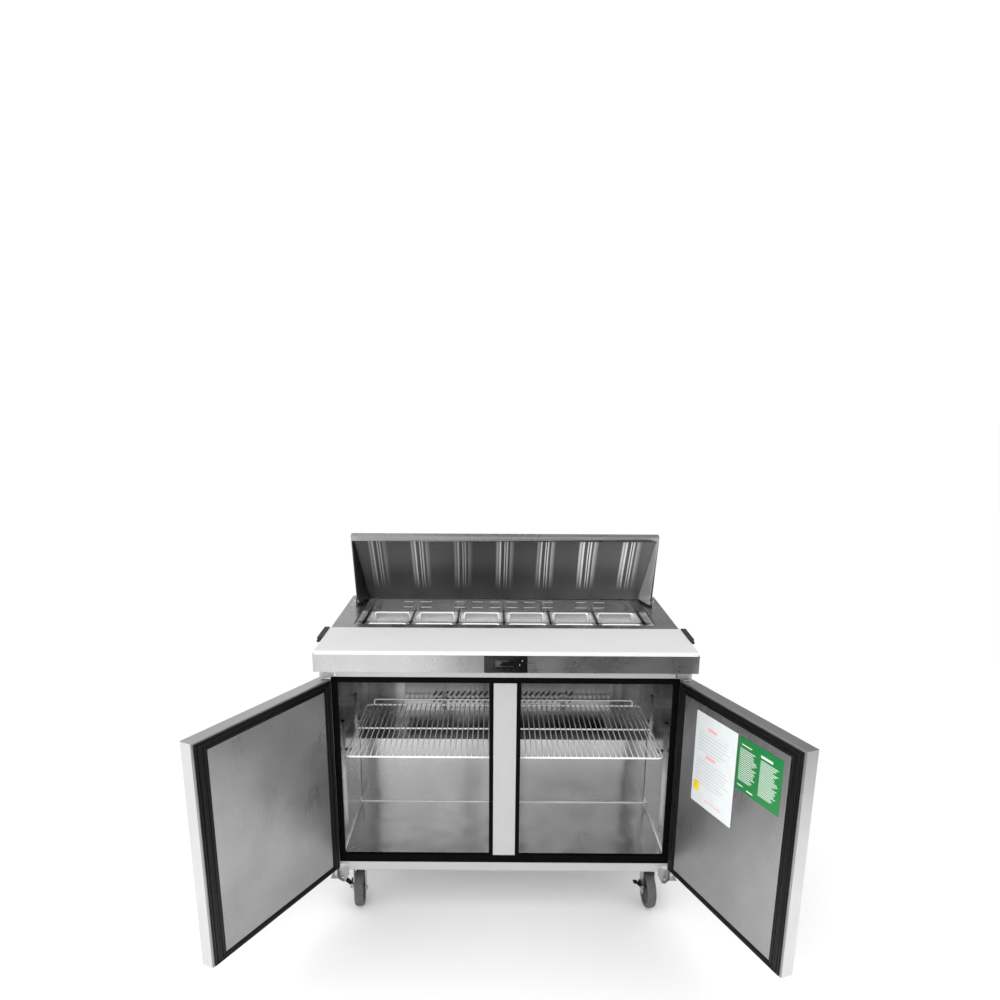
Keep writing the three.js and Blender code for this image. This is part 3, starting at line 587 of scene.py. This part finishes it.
def screw_head(radius, height):
    """A domed head with a cross recess, pointing along +z from its seat at 0."""
    shares = (1.0, 0.97, 0.8, 0.58, 0.5, 0.3, 0.12)
    levels = (0.0, 0.45, 0.85, 0.97, 1.0, 1.0, 1.0)
    count = 24
    points, faces = [], []
    for share, level in zip(shares, levels):
        for i in range(count):
            angle = 2 * math.pi * i / count
            z = level
            if share <= 0.5 and i % 6 in (0, 1, 5) and not (share > 0.4 and i % 6 != 0):
                z = 0.35
            points.append((
                radius * share * math.cos(angle), radius * share * math.sin(angle), height * z,
            ))
    for k in range(len(shares) - 1):
        for i in range(count):
            j = (i + 1) % count
            a, b = k * count + i, k * count + j
            faces.append((a, b, b + count, a + count))
    last = (len(shares) - 1) * count
    points.append((0, 0, height * 0.35))
    for i in range(count):
        faces.append((last + i, last + (i + 1) % count, len(points) - 1))
    faces.append(tuple(range(count - 1, -1, -1)))
    return points, faces


FACING = {
    "-y": Matrix.Rotation(math.radians(90), 4, "X"),
    "+y": Matrix.Rotation(math.radians(-90), 4, "X"),
    "-x": Matrix.Rotation(math.radians(-90), 4, "Y"),
    "+x": Matrix.Rotation(math.radians(90), 4, "Y"),
    "+z": Matrix(),
    "-z": Matrix.Rotation(math.radians(180), 4, "X"),
}


def screws(places, facing, radius=3.6, height=1.8):
    return [moved(screw_head(radius, height), place, FACING[facing]) for place in places]


def build(name, parts, place, body, replaces=(), smooth=35):
    """One piece from (shape, material) parts given in a frame's millimetres."""
    mesh = bpy.data.meshes.new(name)
    points, faces, numbers, materials = [], [], [], []
    for (some_points, some_faces), material in parts:
        if material not in materials:
            materials.append(material)
        start = len(points)
        points += [place @ Vector(p) for p in some_points]
        faces += [tuple(start + i for i in face) for face in some_faces]
        numbers += [materials.index(material)] * len(some_faces)
    mesh.from_pydata(points, [], faces)
    for material in materials:
        mesh.materials.append(material)
    mesh.polygons.foreach_set("material_index", numbers)
    mesh.polygons.foreach_set("use_smooth", [True] * len(faces))
    mesh.update()
    mesh.set_sharp_from_angle(angle=math.radians(smooth))
    obj = bpy.data.objects.new(name, mesh)
    bpy.context.collection.objects.link(obj)
    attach(obj, body)
    if replaces:
        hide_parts(*replaces)
    return obj


def each(shapes, material):
    return [(shape, material) for shape in shapes]


# ---- food pans -----------------------------------------------------------------------------------
# (half width, half depth, corner radius, height over the rim's underside), from the outside of the
# floor, up, over the rim and down the inside.
PAN_RINGS = [
    (57, 50, 11, -98), (66, 59, 16, -97.4), (69.5, 62.5, 18.5, -94.5), (71.4, 64.4, 20, -90),
    (77.4, 70.4, 20, -6), (78.2, 71.2, 20, -1.5), (80, 73, 18.5, 0), (84.2, 77.4, 12.4, 0),
    (85.2, 78.4, 12, 0.2), (85.6, 78.8, 12, 0.7), (85.3, 78.5, 12, 1.3), (84.4, 77.6, 12, 1.6),
    (82.5, 75.5, 15, 1.6), (80.2, 73.2, 16.5, 1.35), (78.6, 71.6, 17.6, 0.4), (77.3, 70.3, 18.4, -2),
    (76.4, 69.4, 18.6, -7), (72.9, 65.9, 18.6, -50), (70.2, 63.2, 18.4, -84), (69.2, 62.2, 18, -89),
    (66.8, 59.8, 17, -93.4), (63, 56, 14, -96), (58, 51, 10, -96.6),
]
PAN_STEPS = 8
RIM_THICK = 1.6


def pan_shape():
    rings = [rounded_ring(hx, hy, r, z, PAN_STEPS) for hx, hy, r, z in PAN_RINGS]
    return loft(rings)


for row in ("front", "rear"):
    for column in range(1, 7):
        node = f"pan_{row}_{column}"
        low, high = (Vector(c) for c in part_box(node))
        middle = (low + high) / 2
        rim = Matrix.Translation((middle.x, middle.y, high.z - RIM_THICK * MM)) @ SCALE
        build(f"{node}_pressed", [(pan_shape(), steel_mirror)], rim, node, [node])

# ---- louvres in the well's back wall -------------------------------------------------------------
LOUVRE_XS, LOUVRE_ZS = (35, 104.5, 176, 312, 383), (928, 951)
LOUVRE_HALF, LOUVRE_Y, LOUVRE_LIFT, LOUVRE_ROD = 20.5, 334.6, 3.6, 2.7


def louvre(x, z):
    ends = [(x + end, LOUVRE_Y, z + LOUVRE_LIFT) for end in (-LOUVRE_HALF, LOUVRE_HALF)]
    return tube(ends, LOUVRE_ROD, 12, flat=0.8)


louvres = [louvre(s * x, z) for s in SIDES.values() for x in LOUVRE_XS for z in LOUVRE_ZS]
build("well_louvres", each(louvres, steel_mirror), CABINET, "cabinet")

# ---- sloping end walls inside the lid ------------------------------------------------------------
# In the lid's own frame, shut, from its axle: the wall's free edge, then where it meets the lining.
LID_WALL_FRONT = ((566.5, -280, -11.5), (563, -280, -8.5))
LID_WALL_REAR = ((562.5, 5, -11.5), (536, 30, 82.5))
LID_WALL_THICK = 1.2
LID_WALL_STATIONS = 9


def lid_wall(side, finish):
    s = SIDES[side]
    rings = []
    thick = Vector((LID_WALL_THICK, 0, 0))
    for i in range(LID_WALL_STATIONS):
        share = i / (LID_WALL_STATIONS - 1)
        free, met = (
            Vector(a).lerp(Vector(b), share) for a, b in zip(LID_WALL_FRONT, LID_WALL_REAR)
        )
        ring = [(s * x, y, z) for x, y, z in (free, free - thick, met - thick, met)]
        rings.append(ring if s > 0 else ring[::-1])
    build(f"lid_wall_{side}", [(loft(rings), finish)], lid_frame(), "lid")


# Lit and shaded copies of one sheet: the left wall is painted dark as shade, the right one bright as painted
# light.
lid_wall("left", steel_shade)
lid_wall("right", steel_mirror)

# ---- wire shelves --------------------------------------------------------------------------------
WIRES = 27
ROD, WIRE, RAIL = 3.4, 2.0, 2.4  # radii
FRAME_CORNER, RAIL_CORNER = 22, 9
WIRE_LIFT, WIRE_REACH = 7, 2.2
FIRST_WIRE, LAST_WIRE = 14, 30  # from the inner and outer ends
MIDDLE_ROD_Y, SIDE_ROD_INSET, RAIL_INSET = -40, 17, 33


def shelf(side):
    s = SIDES[side]
    low, high = (CABINET.inverted() @ Vector(c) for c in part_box(f"shelf_{side}"))
    inner, outer = sorted((abs(low.x), abs(high.x)))
    front, back, z = low.y, high.y, low.z
    rod_z, wire_z, rail_z = z + ROD, z + WIRE_LIFT, high.z - RAIL
    loop = [(s * x, y, rod_z) for x, y in (
        (inner + ROD, front + ROD), (outer - ROD, front + ROD),
        (outer - ROD, back - ROD), (inner + ROD, back - ROD),
    )]
    shapes = [tube(fillet(loop, FRAME_CORNER, 6, True), ROD, 12, True)]
    middle_rod = [(s * x, MIDDLE_ROD_Y, rod_z) for x in (inner + ROD, outer - ROD)]
    shapes.append(tube(middle_rod, ROD - 0.3))
    side_rod = [(s * (outer - SIDE_ROD_INSET), y, rod_z) for y in (front + ROD, back - ROD)]
    shapes.append(tube(side_rod, ROD - 0.6))
    span = outer - inner - FIRST_WIRE - LAST_WIRE
    for i in range(WIRES):
        x = s * (inner + FIRST_WIRE + i * span / (WIRES - 1))
        stops = (front + WIRE_REACH, (front + back) / 2, back - WIRE_REACH)
        shapes.append(tube([(x, y, wire_z) for y in stops], WIRE, 8))
    near, far = s * (inner + RAIL_INSET), s * (outer - RAIL_INSET)
    rail_y = back - RAIL - 0.8
    rail = [(x, rail_y, height) for x, height in (
        (near, rod_z), (near, rail_z), (far, rail_z), (far, rod_z),
    )]
    shapes.append(tube(fillet(rail, RAIL_CORNER, 5), RAIL, 10))
    build(f"shelf_{side}_wires", each(shapes, shelf_coat), CABINET, f"shelf_{side}",
          [f"shelf_{side}"])


for side_name in SIDES:
    shelf(side_name)

# ---- door gaskets --------------------------------------------------------------------------------
SEAL_OUTER = (0, 569, 182, 866)
SEAL_INNER = (35, 526, 201.6, 836.4)
SEAL_BASE, SEAL_RISE = 15.6, 4.1
SEAL_SMOOTH = 50  # degrees
# (share of the way in from the outer edge, share of the height)
SEAL_PROFILE = [
    (0, 0), (0, 0.45), (0.03, 0.8), (0.09, 1.0), (0.16, 0.86), (0.2, 0.2), (0.245, 0.1),
    (0.28, 0.7), (0.34, 0.96), (0.44, 0.8), (0.5, 0.78), (0.58, 0.96), (0.63, 0.7), (0.67, 0.1),
    (0.72, 0.1), (0.76, 0.7), (0.84, 0.92), (0.93, 0.66), (0.98, 0.3), (1, 0),
]


def gasket(side):
    s = SIDES[side]
    points, faces = [], []
    for inward, rise in SEAL_PROFILE:
        a0, a1, z0, z1 = (o + (i - o) * inward for o, i in zip(SEAL_OUTER, SEAL_INNER))
        off = SEAL_BASE + SEAL_RISE * rise
        points += [(-s * a, off, z) for a, z in ((a0, z0), (a1, z0), (a1, z1), (a0, z1))]
    count = len(SEAL_PROFILE)
    for k in range(count):
        for i in range(4):
            j = (i + 1) % 4
            m = (k + 1) % count
            face = (k * 4 + i, k * 4 + j, m * 4 + j, m * 4 + i)
            faces.append(face if s < 0 else tuple(reversed(face)))
    build(f"door_{side}_seal", [((points, faces), seal_rubber)], door_frame(side), f"door_{side}",
          [f"door_{side}_gasket"], SEAL_SMOOTH)


for side_name in SIDES:
    gasket(side_name)

# ---- notices inside the right door ---------------------------------------------------------------
# Two plain sheets with level bars and no lettering.
NOTICE_FACE = 17.7
NOTICE_THICK = 0.25


def notice(name, a0, a1, z0, z1, painted, level=NOTICE_FACE):
    centre = ((a0 + a1) / 2, (z0 + z1) / 2)
    points, faces = pad((a1 - a0) / 2, (z1 - z0) / 2, 1.5, 0, NOTICE_THICK, 0.05)
    turned_points = [(-(x + centre[0]), level + z, y + centre[1]) for x, y, z in points]
    obj = build(name, [((turned_points, faces), painted)], door_frame("right"), "door_right")
    layer = obj.data.uv_layers.new(name="sheet")
    local = door_frame("right").inverted()
    for loop in obj.data.loops:
        p = local @ obj.data.vertices[loop.vertex_index].co
        layer.data[loop.index].uv = ((-p.x - a0) / (a1 - a0), (p.z - z0) / (z1 - z0))
    return obj


def notice_material(name, ground, ink, blocks):
    """Ground colour with blocks of level bars: (left, right, low, high, pitch, thick, ink)."""
    n = Nodes(name)
    uv = n.add("ShaderNodeUVMap").outputs["UV"]
    split = n.add("ShaderNodeSeparateXYZ", {"Vector": uv})
    u, v = split.outputs["X"], split.outputs["Y"]
    color = n.blend(n.spread(n.noise(30, 3.0), 0, 1), tuple(c * 0.94 for c in ground), ground)
    for left, right, low, high, pitch, thick, own_ink in blocks:
        across, up = n.math("SUBTRACT", u, left), n.math("SUBTRACT", v, low)
        inside = n.math("MULTIPLY", n.math("GREATER_THAN", across, 0), n.math("GREATER_THAN", up, 0))
        inside = n.math("MULTIPLY", inside, n.math("LESS_THAN", v, high))
        bars = rows_of_bars(n, across, up, pitch, thick, right - left)
        color = n.blend(n.math("MULTIPLY", inside, bars), color, own_ink or ink)
    n.link(color, "Base Color")
    n.link(n.spread(n.noise(50, 3.0), 0.34, 0.5), "Roughness")
    n.link(n.bump(n.noise(300, 2.0), 0.05, 0.0002), "Normal")
    return n.material


PINK, PALE_INK = (0.90, 0.40, 0.44), (0.50, 0.52, 0.55)
white_sheet = notice_material("white_sheet", (0.72, 0.75, 0.76), PALE_INK, [
    (0.30, 0.62, 0.845, 0.885, 0.04, 0.8, PINK),
    (0.08, 0.92, 0.60, 0.82, 0.036, 0.22, None),
    (0.30, 0.64, 0.545, 0.585, 0.04, 0.8, PINK),
    (0.08, 0.94, 0.24, 0.53, 0.036, 0.22, None),
    (0.34, 0.92, 0.08, 0.105, 0.03, 0.4, PINK),
])
PALE = (0.72, 0.80, 0.74)
green_sheet = notice_material("green_sheet", (0.008, 0.20, 0.045), PALE, [
    (0.09, 0.42, 0.855, 0.88, 0.03, 0.7, None),
    (0.06, 0.46, 0.20, 0.81, 0.036, 0.42, None),
    (0.06, 0.24, 0.09, 0.115, 0.03, 0.7, None),
    (0.28, 0.48, 0.06, 0.09, 0.036, 0.7, None),
    (0.53, 0.90, 0.83, 0.895, 0.075, 0.6, None),
    (0.53, 0.93, 0.14, 0.80, 0.030, 0.42, None),
])
notice("notice_white", 102, 306, 505, 812, white_sheet)
notice("notice_green", 309, 502, 645, 812, green_sheet)
yellow_patch = notice_material("yellow_patch", (0.85, 0.62, 0.02), (0.7, 0.5, 0.02), [])
notice("notice_patch", 112, 140, 548, 580, yellow_patch, NOTICE_FACE + NOTICE_THICK + 0.05)

# ---- control panel -------------------------------------------------------------------------------
glass = Nodes("display_glass")
glass.link(glass.spread(glass.noise(40, 2.0), 0.08, 0.14), "Roughness")
glass.link(glass.blend(glass.spread(glass.noise(20, 2.0), 0, 1), grey(0.004), grey(0.008)), "Base Color")
glass.set(Coat_Weight=0.5)
lamp = Nodes("lamp")
lens = lamp.spread(lamp.noise(90, 2.0), 0, 1)
lamp.link(lamp.blend(lens, (0.6, 0.6, 0.58), (0.8, 0.8, 0.78)), "Base Color")
panel_low, panel_high = (CABINET.inverted() @ Vector(c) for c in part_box("control_panel"))
panel_z = (panel_low.z + panel_high.z) / 2
panel_front = panel_low.y
UPRIGHT = Matrix.Rotation(math.radians(90), 4, "X")


def on_panel(half_x, half_z, radius, x, z, depth, proud, edge=0.4):
    """A plate that stands on the panel's face, with its front proud of the face's own level."""
    shape = pad(half_x, half_z, radius, 0, depth, edge)
    return moved(shape, (x, panel_front + depth - proud, panel_z + z), UPRIGHT)


BUTTON_XS = (-34, -14, 6, 26)
half_panel = (panel_high.x - panel_low.x) / 2
half_tall = (panel_high.z - panel_low.z) / 2
face = on_panel(half_panel, half_tall, 3, 0, 0, 1.6, -0.4, 0.7)
housing = block(-60, 60, panel_front + 2, panel_high.y, panel_low.z + 9, panel_high.z - 9.6)
details = [(face, panel_plastic), (housing, black_plastic)]
details.append((on_panel(29, 11, 2.5, -4, 3, 0.5, -0.15), glass.material))
for x in BUTTON_XS:
    details.append((on_panel(6, 2.6, 2.4, x, -17, 0.6, 0), black_plastic))
details.append((on_panel(1.4, 1.4, 1.4, 52, 12, 0.6, 0), lamp.material))
details.append((on_panel(0.8, 2.2, 0.8, 44, -2, 0.6, 0), lamp.material))
build("control_face", details, CABINET, "cabinet", ["control_panel"])

# ---- casters -------------------------------------------------------------------------------------
TRAIL, AXLE_Z = 38, 62.5
SPOKES, SPOKE_OUT, SPOKE_X = 5, 31, 8.8
FORK_HALF = 22.4  # outside of the fork's legs
TYRE = [
    (47, -13.2), (52, -15.4), (56.5, -16), (59.6, -14.6), (61.4, -11.6), (62.3, -7.5), (62.5, -3),
    (62.5, 3), (62.3, 7.5), (61.4, 11.6), (59.6, 14.6), (56.5, 16), (52, 15.4), (47, 13.2), (46, 0),
]
HUB = [
    (6.8, -18.2), (13.5, -18.4), (14.8, -17.6), (15.6, -12), (17, -10.4), (22, -9.6), (42, -9.2),
    (44.5, -10.4), (45.6, -12.6), (47.4, -12.6), (47.4, 12.6), (45.6, 12.6), (44.5, 10.4),
    (42, 9.2), (22, 9.6), (17, 10.4), (15.6, 12), (14.8, 17.6), (13.5, 18.4), (6.8, 18.2),
]


def caster(spot):
    place = caster_frame(spot)
    centre = (0, -TRAIL, AXLE_Z)
    parts = [(moved(ring_solid(TYRE, 64), centre), wheel_rubber)]
    parts.append((moved(ring_solid(HUB, 48), centre), hub_plastic))
    spoke = block(-1.6, 1.6, -12, 12, 0, 2.4, 0.5)
    for i in range(SPOKES):
        around = Matrix.Rotation(2 * math.pi * i / SPOKES, 4, "X")
        for s in (-1, 1):
            turn = Matrix.Rotation(math.radians(90 * s), 4, "Y")
            aim = around @ Matrix.Translation((s * SPOKE_X, SPOKE_OUT, 0)) @ turn
            parts.append((moved(moved(spoke, turn=aim), centre), hub_plastic))
    build(f"wheel_{spot}_tyre", parts, place, f"wheel_{spot}", [f"caster_wheel_{spot}"])

    race = revolve([(0, 142.2), (30, 142.2), (33.6, 143), (34.6, 145), (33.4, 147), (31.4, 147.6),
                    (31.4, 149.6), (0, 149.6)], 40)
    hardware = [(race, zinc)]
    for s in (-1, 1):
        washer = revolve([(0, 0), (9.6, 0), (9.8, 0.5), (9.6, 1.1), (0, 1.1)], 24, "x")
        nut = hexagon(13, 1.0, 4.6, "x")
        for shape in (washer, nut):
            points, faces = shape
            points = [(s * (FORK_HALF + x), y, z) for x, y, z in points]
            faces = faces if s > 0 else [tuple(reversed(f)) for f in faces]
            hardware.append((moved((points, faces), centre), zinc))
    build(f"fork_{spot}_hardware", hardware, place, f"caster_{spot}")


PEDAL_SPINE = [(-27, 0, 80.5), (-33, 0, 83.5), (-42, 0, 93), (-47, 0, 95.4), (-55, 0, 95.6)]
PEDAL_THICK = 1.5  # half
PEDAL_SECTION = [
    (-1, -0.5), (-0.96, -1), (0.96, -1), (1, -0.5), (1, 0.5), (0.96, 1), (-0.96, 1), (-1, 0.5),
]
PEDAL_PIVOT = (-28, -TRAIL, 82)
PEDAL_RIBS = (-46, -49.5, -53)


def pedal(spot):
    place = caster_frame(spot)
    spine = fillet(PEDAL_SPINE, 6, 4)
    rings = []
    for i, point in enumerate(spine):
        ahead = (spine[min(i + 1, len(spine) - 1)] - spine[max(i - 1, 0)]).normalized()
        up = Vector((-ahead.z, 0, ahead.x)) * -1
        share = i / (len(spine) - 1)
        half = 10.5 + 3 * math.sin(math.pi * min(1, share * 1.2))
        rings.append([
            tuple(point + up * PEDAL_THICK * w + Vector((0, -TRAIL + half * v, 0)))
            for v, w in PEDAL_SECTION
        ])
    parts = [(loft(rings), black_plastic)]
    barrel = [(0, -17.2), (3.2, -17.2), (3.6, -16.6), (3.6, 16.6), (3.2, 17.2), (0, 17.2)]
    parts.append((moved(revolve(barrel, 20, "y"), PEDAL_PIVOT), black_plastic))
    pin = [(0, -21), (1.8, -21), (2.1, -20.6), (2.1, 20.6), (1.8, 21), (0, 21)]
    parts.append((moved(revolve(pin, 16, "y"), PEDAL_PIVOT), zinc))
    for x in PEDAL_RIBS:
        parts.append((tube([(x, -TRAIL - 9, 96.9), (x, -TRAIL + 9, 96.9)], 0.7, 8), black_plastic))
    build(f"pedal_{spot}_lever", parts, place, f"pedal_{spot}",
          [f"brake_pedal_{spot}"])


SPOTS = ["front_left", "front_right", "rear_left", "rear_right"]
for spot_name in SPOTS:
    caster(spot_name)
    if spot_name.startswith("front"):
        pedal(spot_name)

# ---- small fittings ------------------------------------------------------------------------------
PLATE_BOLTS_X, PLATE_BOLTS_Y, PLATE_TOP = (-28, 28), (-40, 40), 150.9
HINGE_SCREWS_X, HINGE_SCREWS_Z, HINGE_FACE = (560, 572), (880.5, 897.5), -334.8
fittings = []
for spot_name in SPOTS:
    x, y = (CABINET.inverted() @ Vector(joints[f"caster_{spot_name}_swivel"]["pos_m"])).xy
    for dx in PLATE_BOLTS_X:
        for dy in PLATE_BOLTS_Y:
            head = moved(hexagon(10, 0, 4.2), (x + dx, y + dy, PLATE_TOP), FACING["-z"])
            fittings.append((head, zinc))
for s in SIDES.values():
    places = [(s * x, HINGE_FACE, z) for x in HINGE_SCREWS_X for z in HINGE_SCREWS_Z]
    fittings += each(screws(places, "-y", 2.6, 1.1), chrome)
build("bolts_and_screws", fittings, CABINET, "cabinet")

REAR_SCREWS_X, REAR_SCREWS_Z, REAR_FACE = (-585, -200, 200, 585), (172, 520, 890), 376.6
places = [(x, REAR_FACE, z) for x in REAR_SCREWS_X for z in REAR_SCREWS_Z]
build("rear_screws", each(screws(places, "+y", 4, 0.39), zinc), CABINET, "cabinet")

# Sealed seams along the inside corners of the cabinet.
WALL, FLOOR, BACK_LOW = 562, 204, 73
BEAD_RADIUS, BEAD_INSET, BEAD_LIFT = 2.4, 1.6, 1.5
BEAD_FRONT, BEAD_TOP = -305, 469
bead_y, bead_z = BACK_LOW - BEAD_INSET, FLOOR + BEAD_LIFT
runs = [[(-WALL + BEAD_LIFT, bead_y, bead_z), (WALL - BEAD_LIFT, bead_y, bead_z)]]
for s in SIDES.values():
    corner = (s * (WALL - BEAD_INSET), bead_y, bead_z)
    runs.append([(corner[0], BEAD_FRONT, bead_z), corner])
    runs.append([corner, (corner[0], bead_y, BEAD_TOP)])
beads = [tube(run, BEAD_RADIUS, 8) for run in runs]
build("corner_beads", each(beads, bead), CABINET, "cabinet")

# Screws and the two seams on the cover in front of the evaporator.
cover_low, cover_high = (CABINET.inverted() @ Vector(c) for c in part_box("evaporator_cover"))
COVER_SCREWS_X, COVER_FACE, COVER_SCREW_DROP = (-370, -200, 0, 200, 400), 228.9, 14
COVER_SEAMS_X, SEAM_HALF, SEAM_BACK, SEAM_FRONT = (-236, 240), 9, 228.8, 227.6
places = [(x, COVER_FACE, cover_high.z - COVER_SCREW_DROP) for x in COVER_SCREWS_X]
cover = each(screws(places, "-y", 3.6, 1.6), chrome)
for x in COVER_SEAMS_X:
    sides = (x - SEAM_HALF, x + SEAM_HALF, SEAM_FRONT, SEAM_BACK)
    seam = block(*sides, cover_low.z + 2, cover_high.z - 2, 0.4)
    cover.append((seam, inner_steel))
build("cover_fittings", cover, CABINET, "cabinet")

# ---- studio --------------------------------------------------------------------------------------
REACH = 60
FLOOR_DROP = 0.0005
floor_mesh = bpy.data.meshes.new("floor")
corners = [(x * REACH, y * REACH, 0) for x, y in ((-1, -1), (1, -1), (1, 1), (-1, 1))]
floor_mesh.from_pydata(corners, [], [(0, 1, 2, 3)])
floor = bpy.data.objects.new("floor", floor_mesh)
bpy.context.collection.objects.link(floor)
paper = Nodes("paper")
paper.link(paper.blend(paper.spread(paper.noise(2, 2.0), 0, 1), grey(0.89), grey(0.90)), "Base Color")
paper.set(Roughness=0.9, Specular_IOR_Level=0.1)
floor_mesh.materials.append(paper.material)
floor.location.z = -FLOOR_DROP

SKY_STRENGTH = 1.12
world = bpy.data.worlds.new("studio")
bpy.context.scene.world = world
world.use_nodes = True
sky = world.node_tree.nodes["Background"]
sky.inputs["Color"].default_value = (1, 1, 1, 1)
sky.inputs["Strength"].default_value = SKY_STRENGTH


def softbox(name, place, aim, size, power):
    light = bpy.data.lights.new(name, "AREA")
    light.shape = "RECTANGLE"
    light.size, light.size_y = size
    light.energy = power
    lamp_object = bpy.data.objects.new(name, light)
    bpy.context.collection.objects.link(lamp_object)
    lamp_object.location = place
    lamp_object.rotation_euler = (Vector(aim) - Vector(place)).to_track_quat("-Z", "Y").to_euler()
    lamp_object.visible_camera = False
    return lamp_object


softbox("key", (-3.2, -2.6, 3.0), (0, 0, 0.6), (2.4, 2.4), 30)
softbox("top", (0.2, -0.4, 3.6), (0, 0, 0.6), (3.0, 2.2), 6)
softbox("fill", (3.2, -2.2, 2.0), (0, 0, 0.6), (1.2, 2.6), 6)
softbox("front", (-0.3, -3.0, 1.5), (0, 0, 0.35), (1.4, 1.0), 38).visible_glossy = False


def flag(name, tone, corners):
    """A dark card that only reflections see, to give the polished metal its dark tones."""
    mesh = bpy.data.meshes.new(name)
    mesh.from_pydata(corners, [], [(0, 1, 2, 3)])
    card = bpy.data.objects.new(name, mesh)
    bpy.context.collection.objects.link(card)
    cloth = Nodes(f"{name}_cloth")
    fibres = cloth.spread(cloth.noise(3, 2.0), 0, 1)
    cloth.link(cloth.blend(fibres, grey(tone * 0.9), grey(tone * 1.1)), "Base Color")
    cloth.set(Roughness=0.9)
    mesh.materials.append(cloth.material)
    card.visible_camera = False
    card.visible_diffuse = False
    card.visible_shadow = False
    return card


flag("flag_front", 0.015, [(-0.2, -5.4, 0.02), (3.8, -5.4, 0.02), (3.8, -5.4, 2.6), (-0.2, -5.4, 2.6)])
flag("flag_floor", 0.015, [(-0.9, -5.4, 0.01), (3.8, -5.4, 0.01), (3.8, -1.5, 0.01), (0.0, -1.5, 0.01)])
flag("flag_back", 0.22, [(-0.6, 3.4, 0.02), (4.6, 3.4, 0.02), (4.6, 3.4, 7.5), (-0.6, 3.4, 7.5)])
flag("flag_back_left", 0.48, [(-4.6, 3.41, 0.02), (-0.6, 3.41, 0.02), (-0.6, 3.41, 7.5), (-4.6, 3.41, 7.5)])

# ---- camera --------------------------------------------------------------------------------------
camera_data = bpy.data.cameras.new("camera")
camera = bpy.data.objects.new("camera", camera_data)
bpy.context.collection.objects.link(camera)
bpy.context.scene.camera = camera
SENSOR, LENS, SHIFT = 36, 29.137, (0.008, 0.11615)
PITCH, YAW, ROLL = math.radians(15.33), math.radians(0.20), math.radians(0.27)
STATION = (-36.07, -2828.2, 1762.13)  # in the cabinet frame
camera_data.sensor_width = SENSOR
camera_data.lens = LENS
camera_data.shift_x, camera_data.shift_y = SHIFT
ahead = Vector((-math.sin(YAW) * math.cos(PITCH), math.cos(YAW) * math.cos(PITCH), -math.sin(PITCH)))
level = Vector((math.cos(YAW), math.sin(YAW), 0))
over = level.cross(ahead)
right = level * math.cos(ROLL) + over * math.sin(ROLL)
up = over * math.cos(ROLL) - level * math.sin(ROLL)
look = Matrix((right, up, -ahead)).transposed().to_4x4()
camera.matrix_world = Matrix.Translation(CABINET @ Vector(STATION)) @ look

bpy.context.scene.view_settings.view_transform = "Standard"
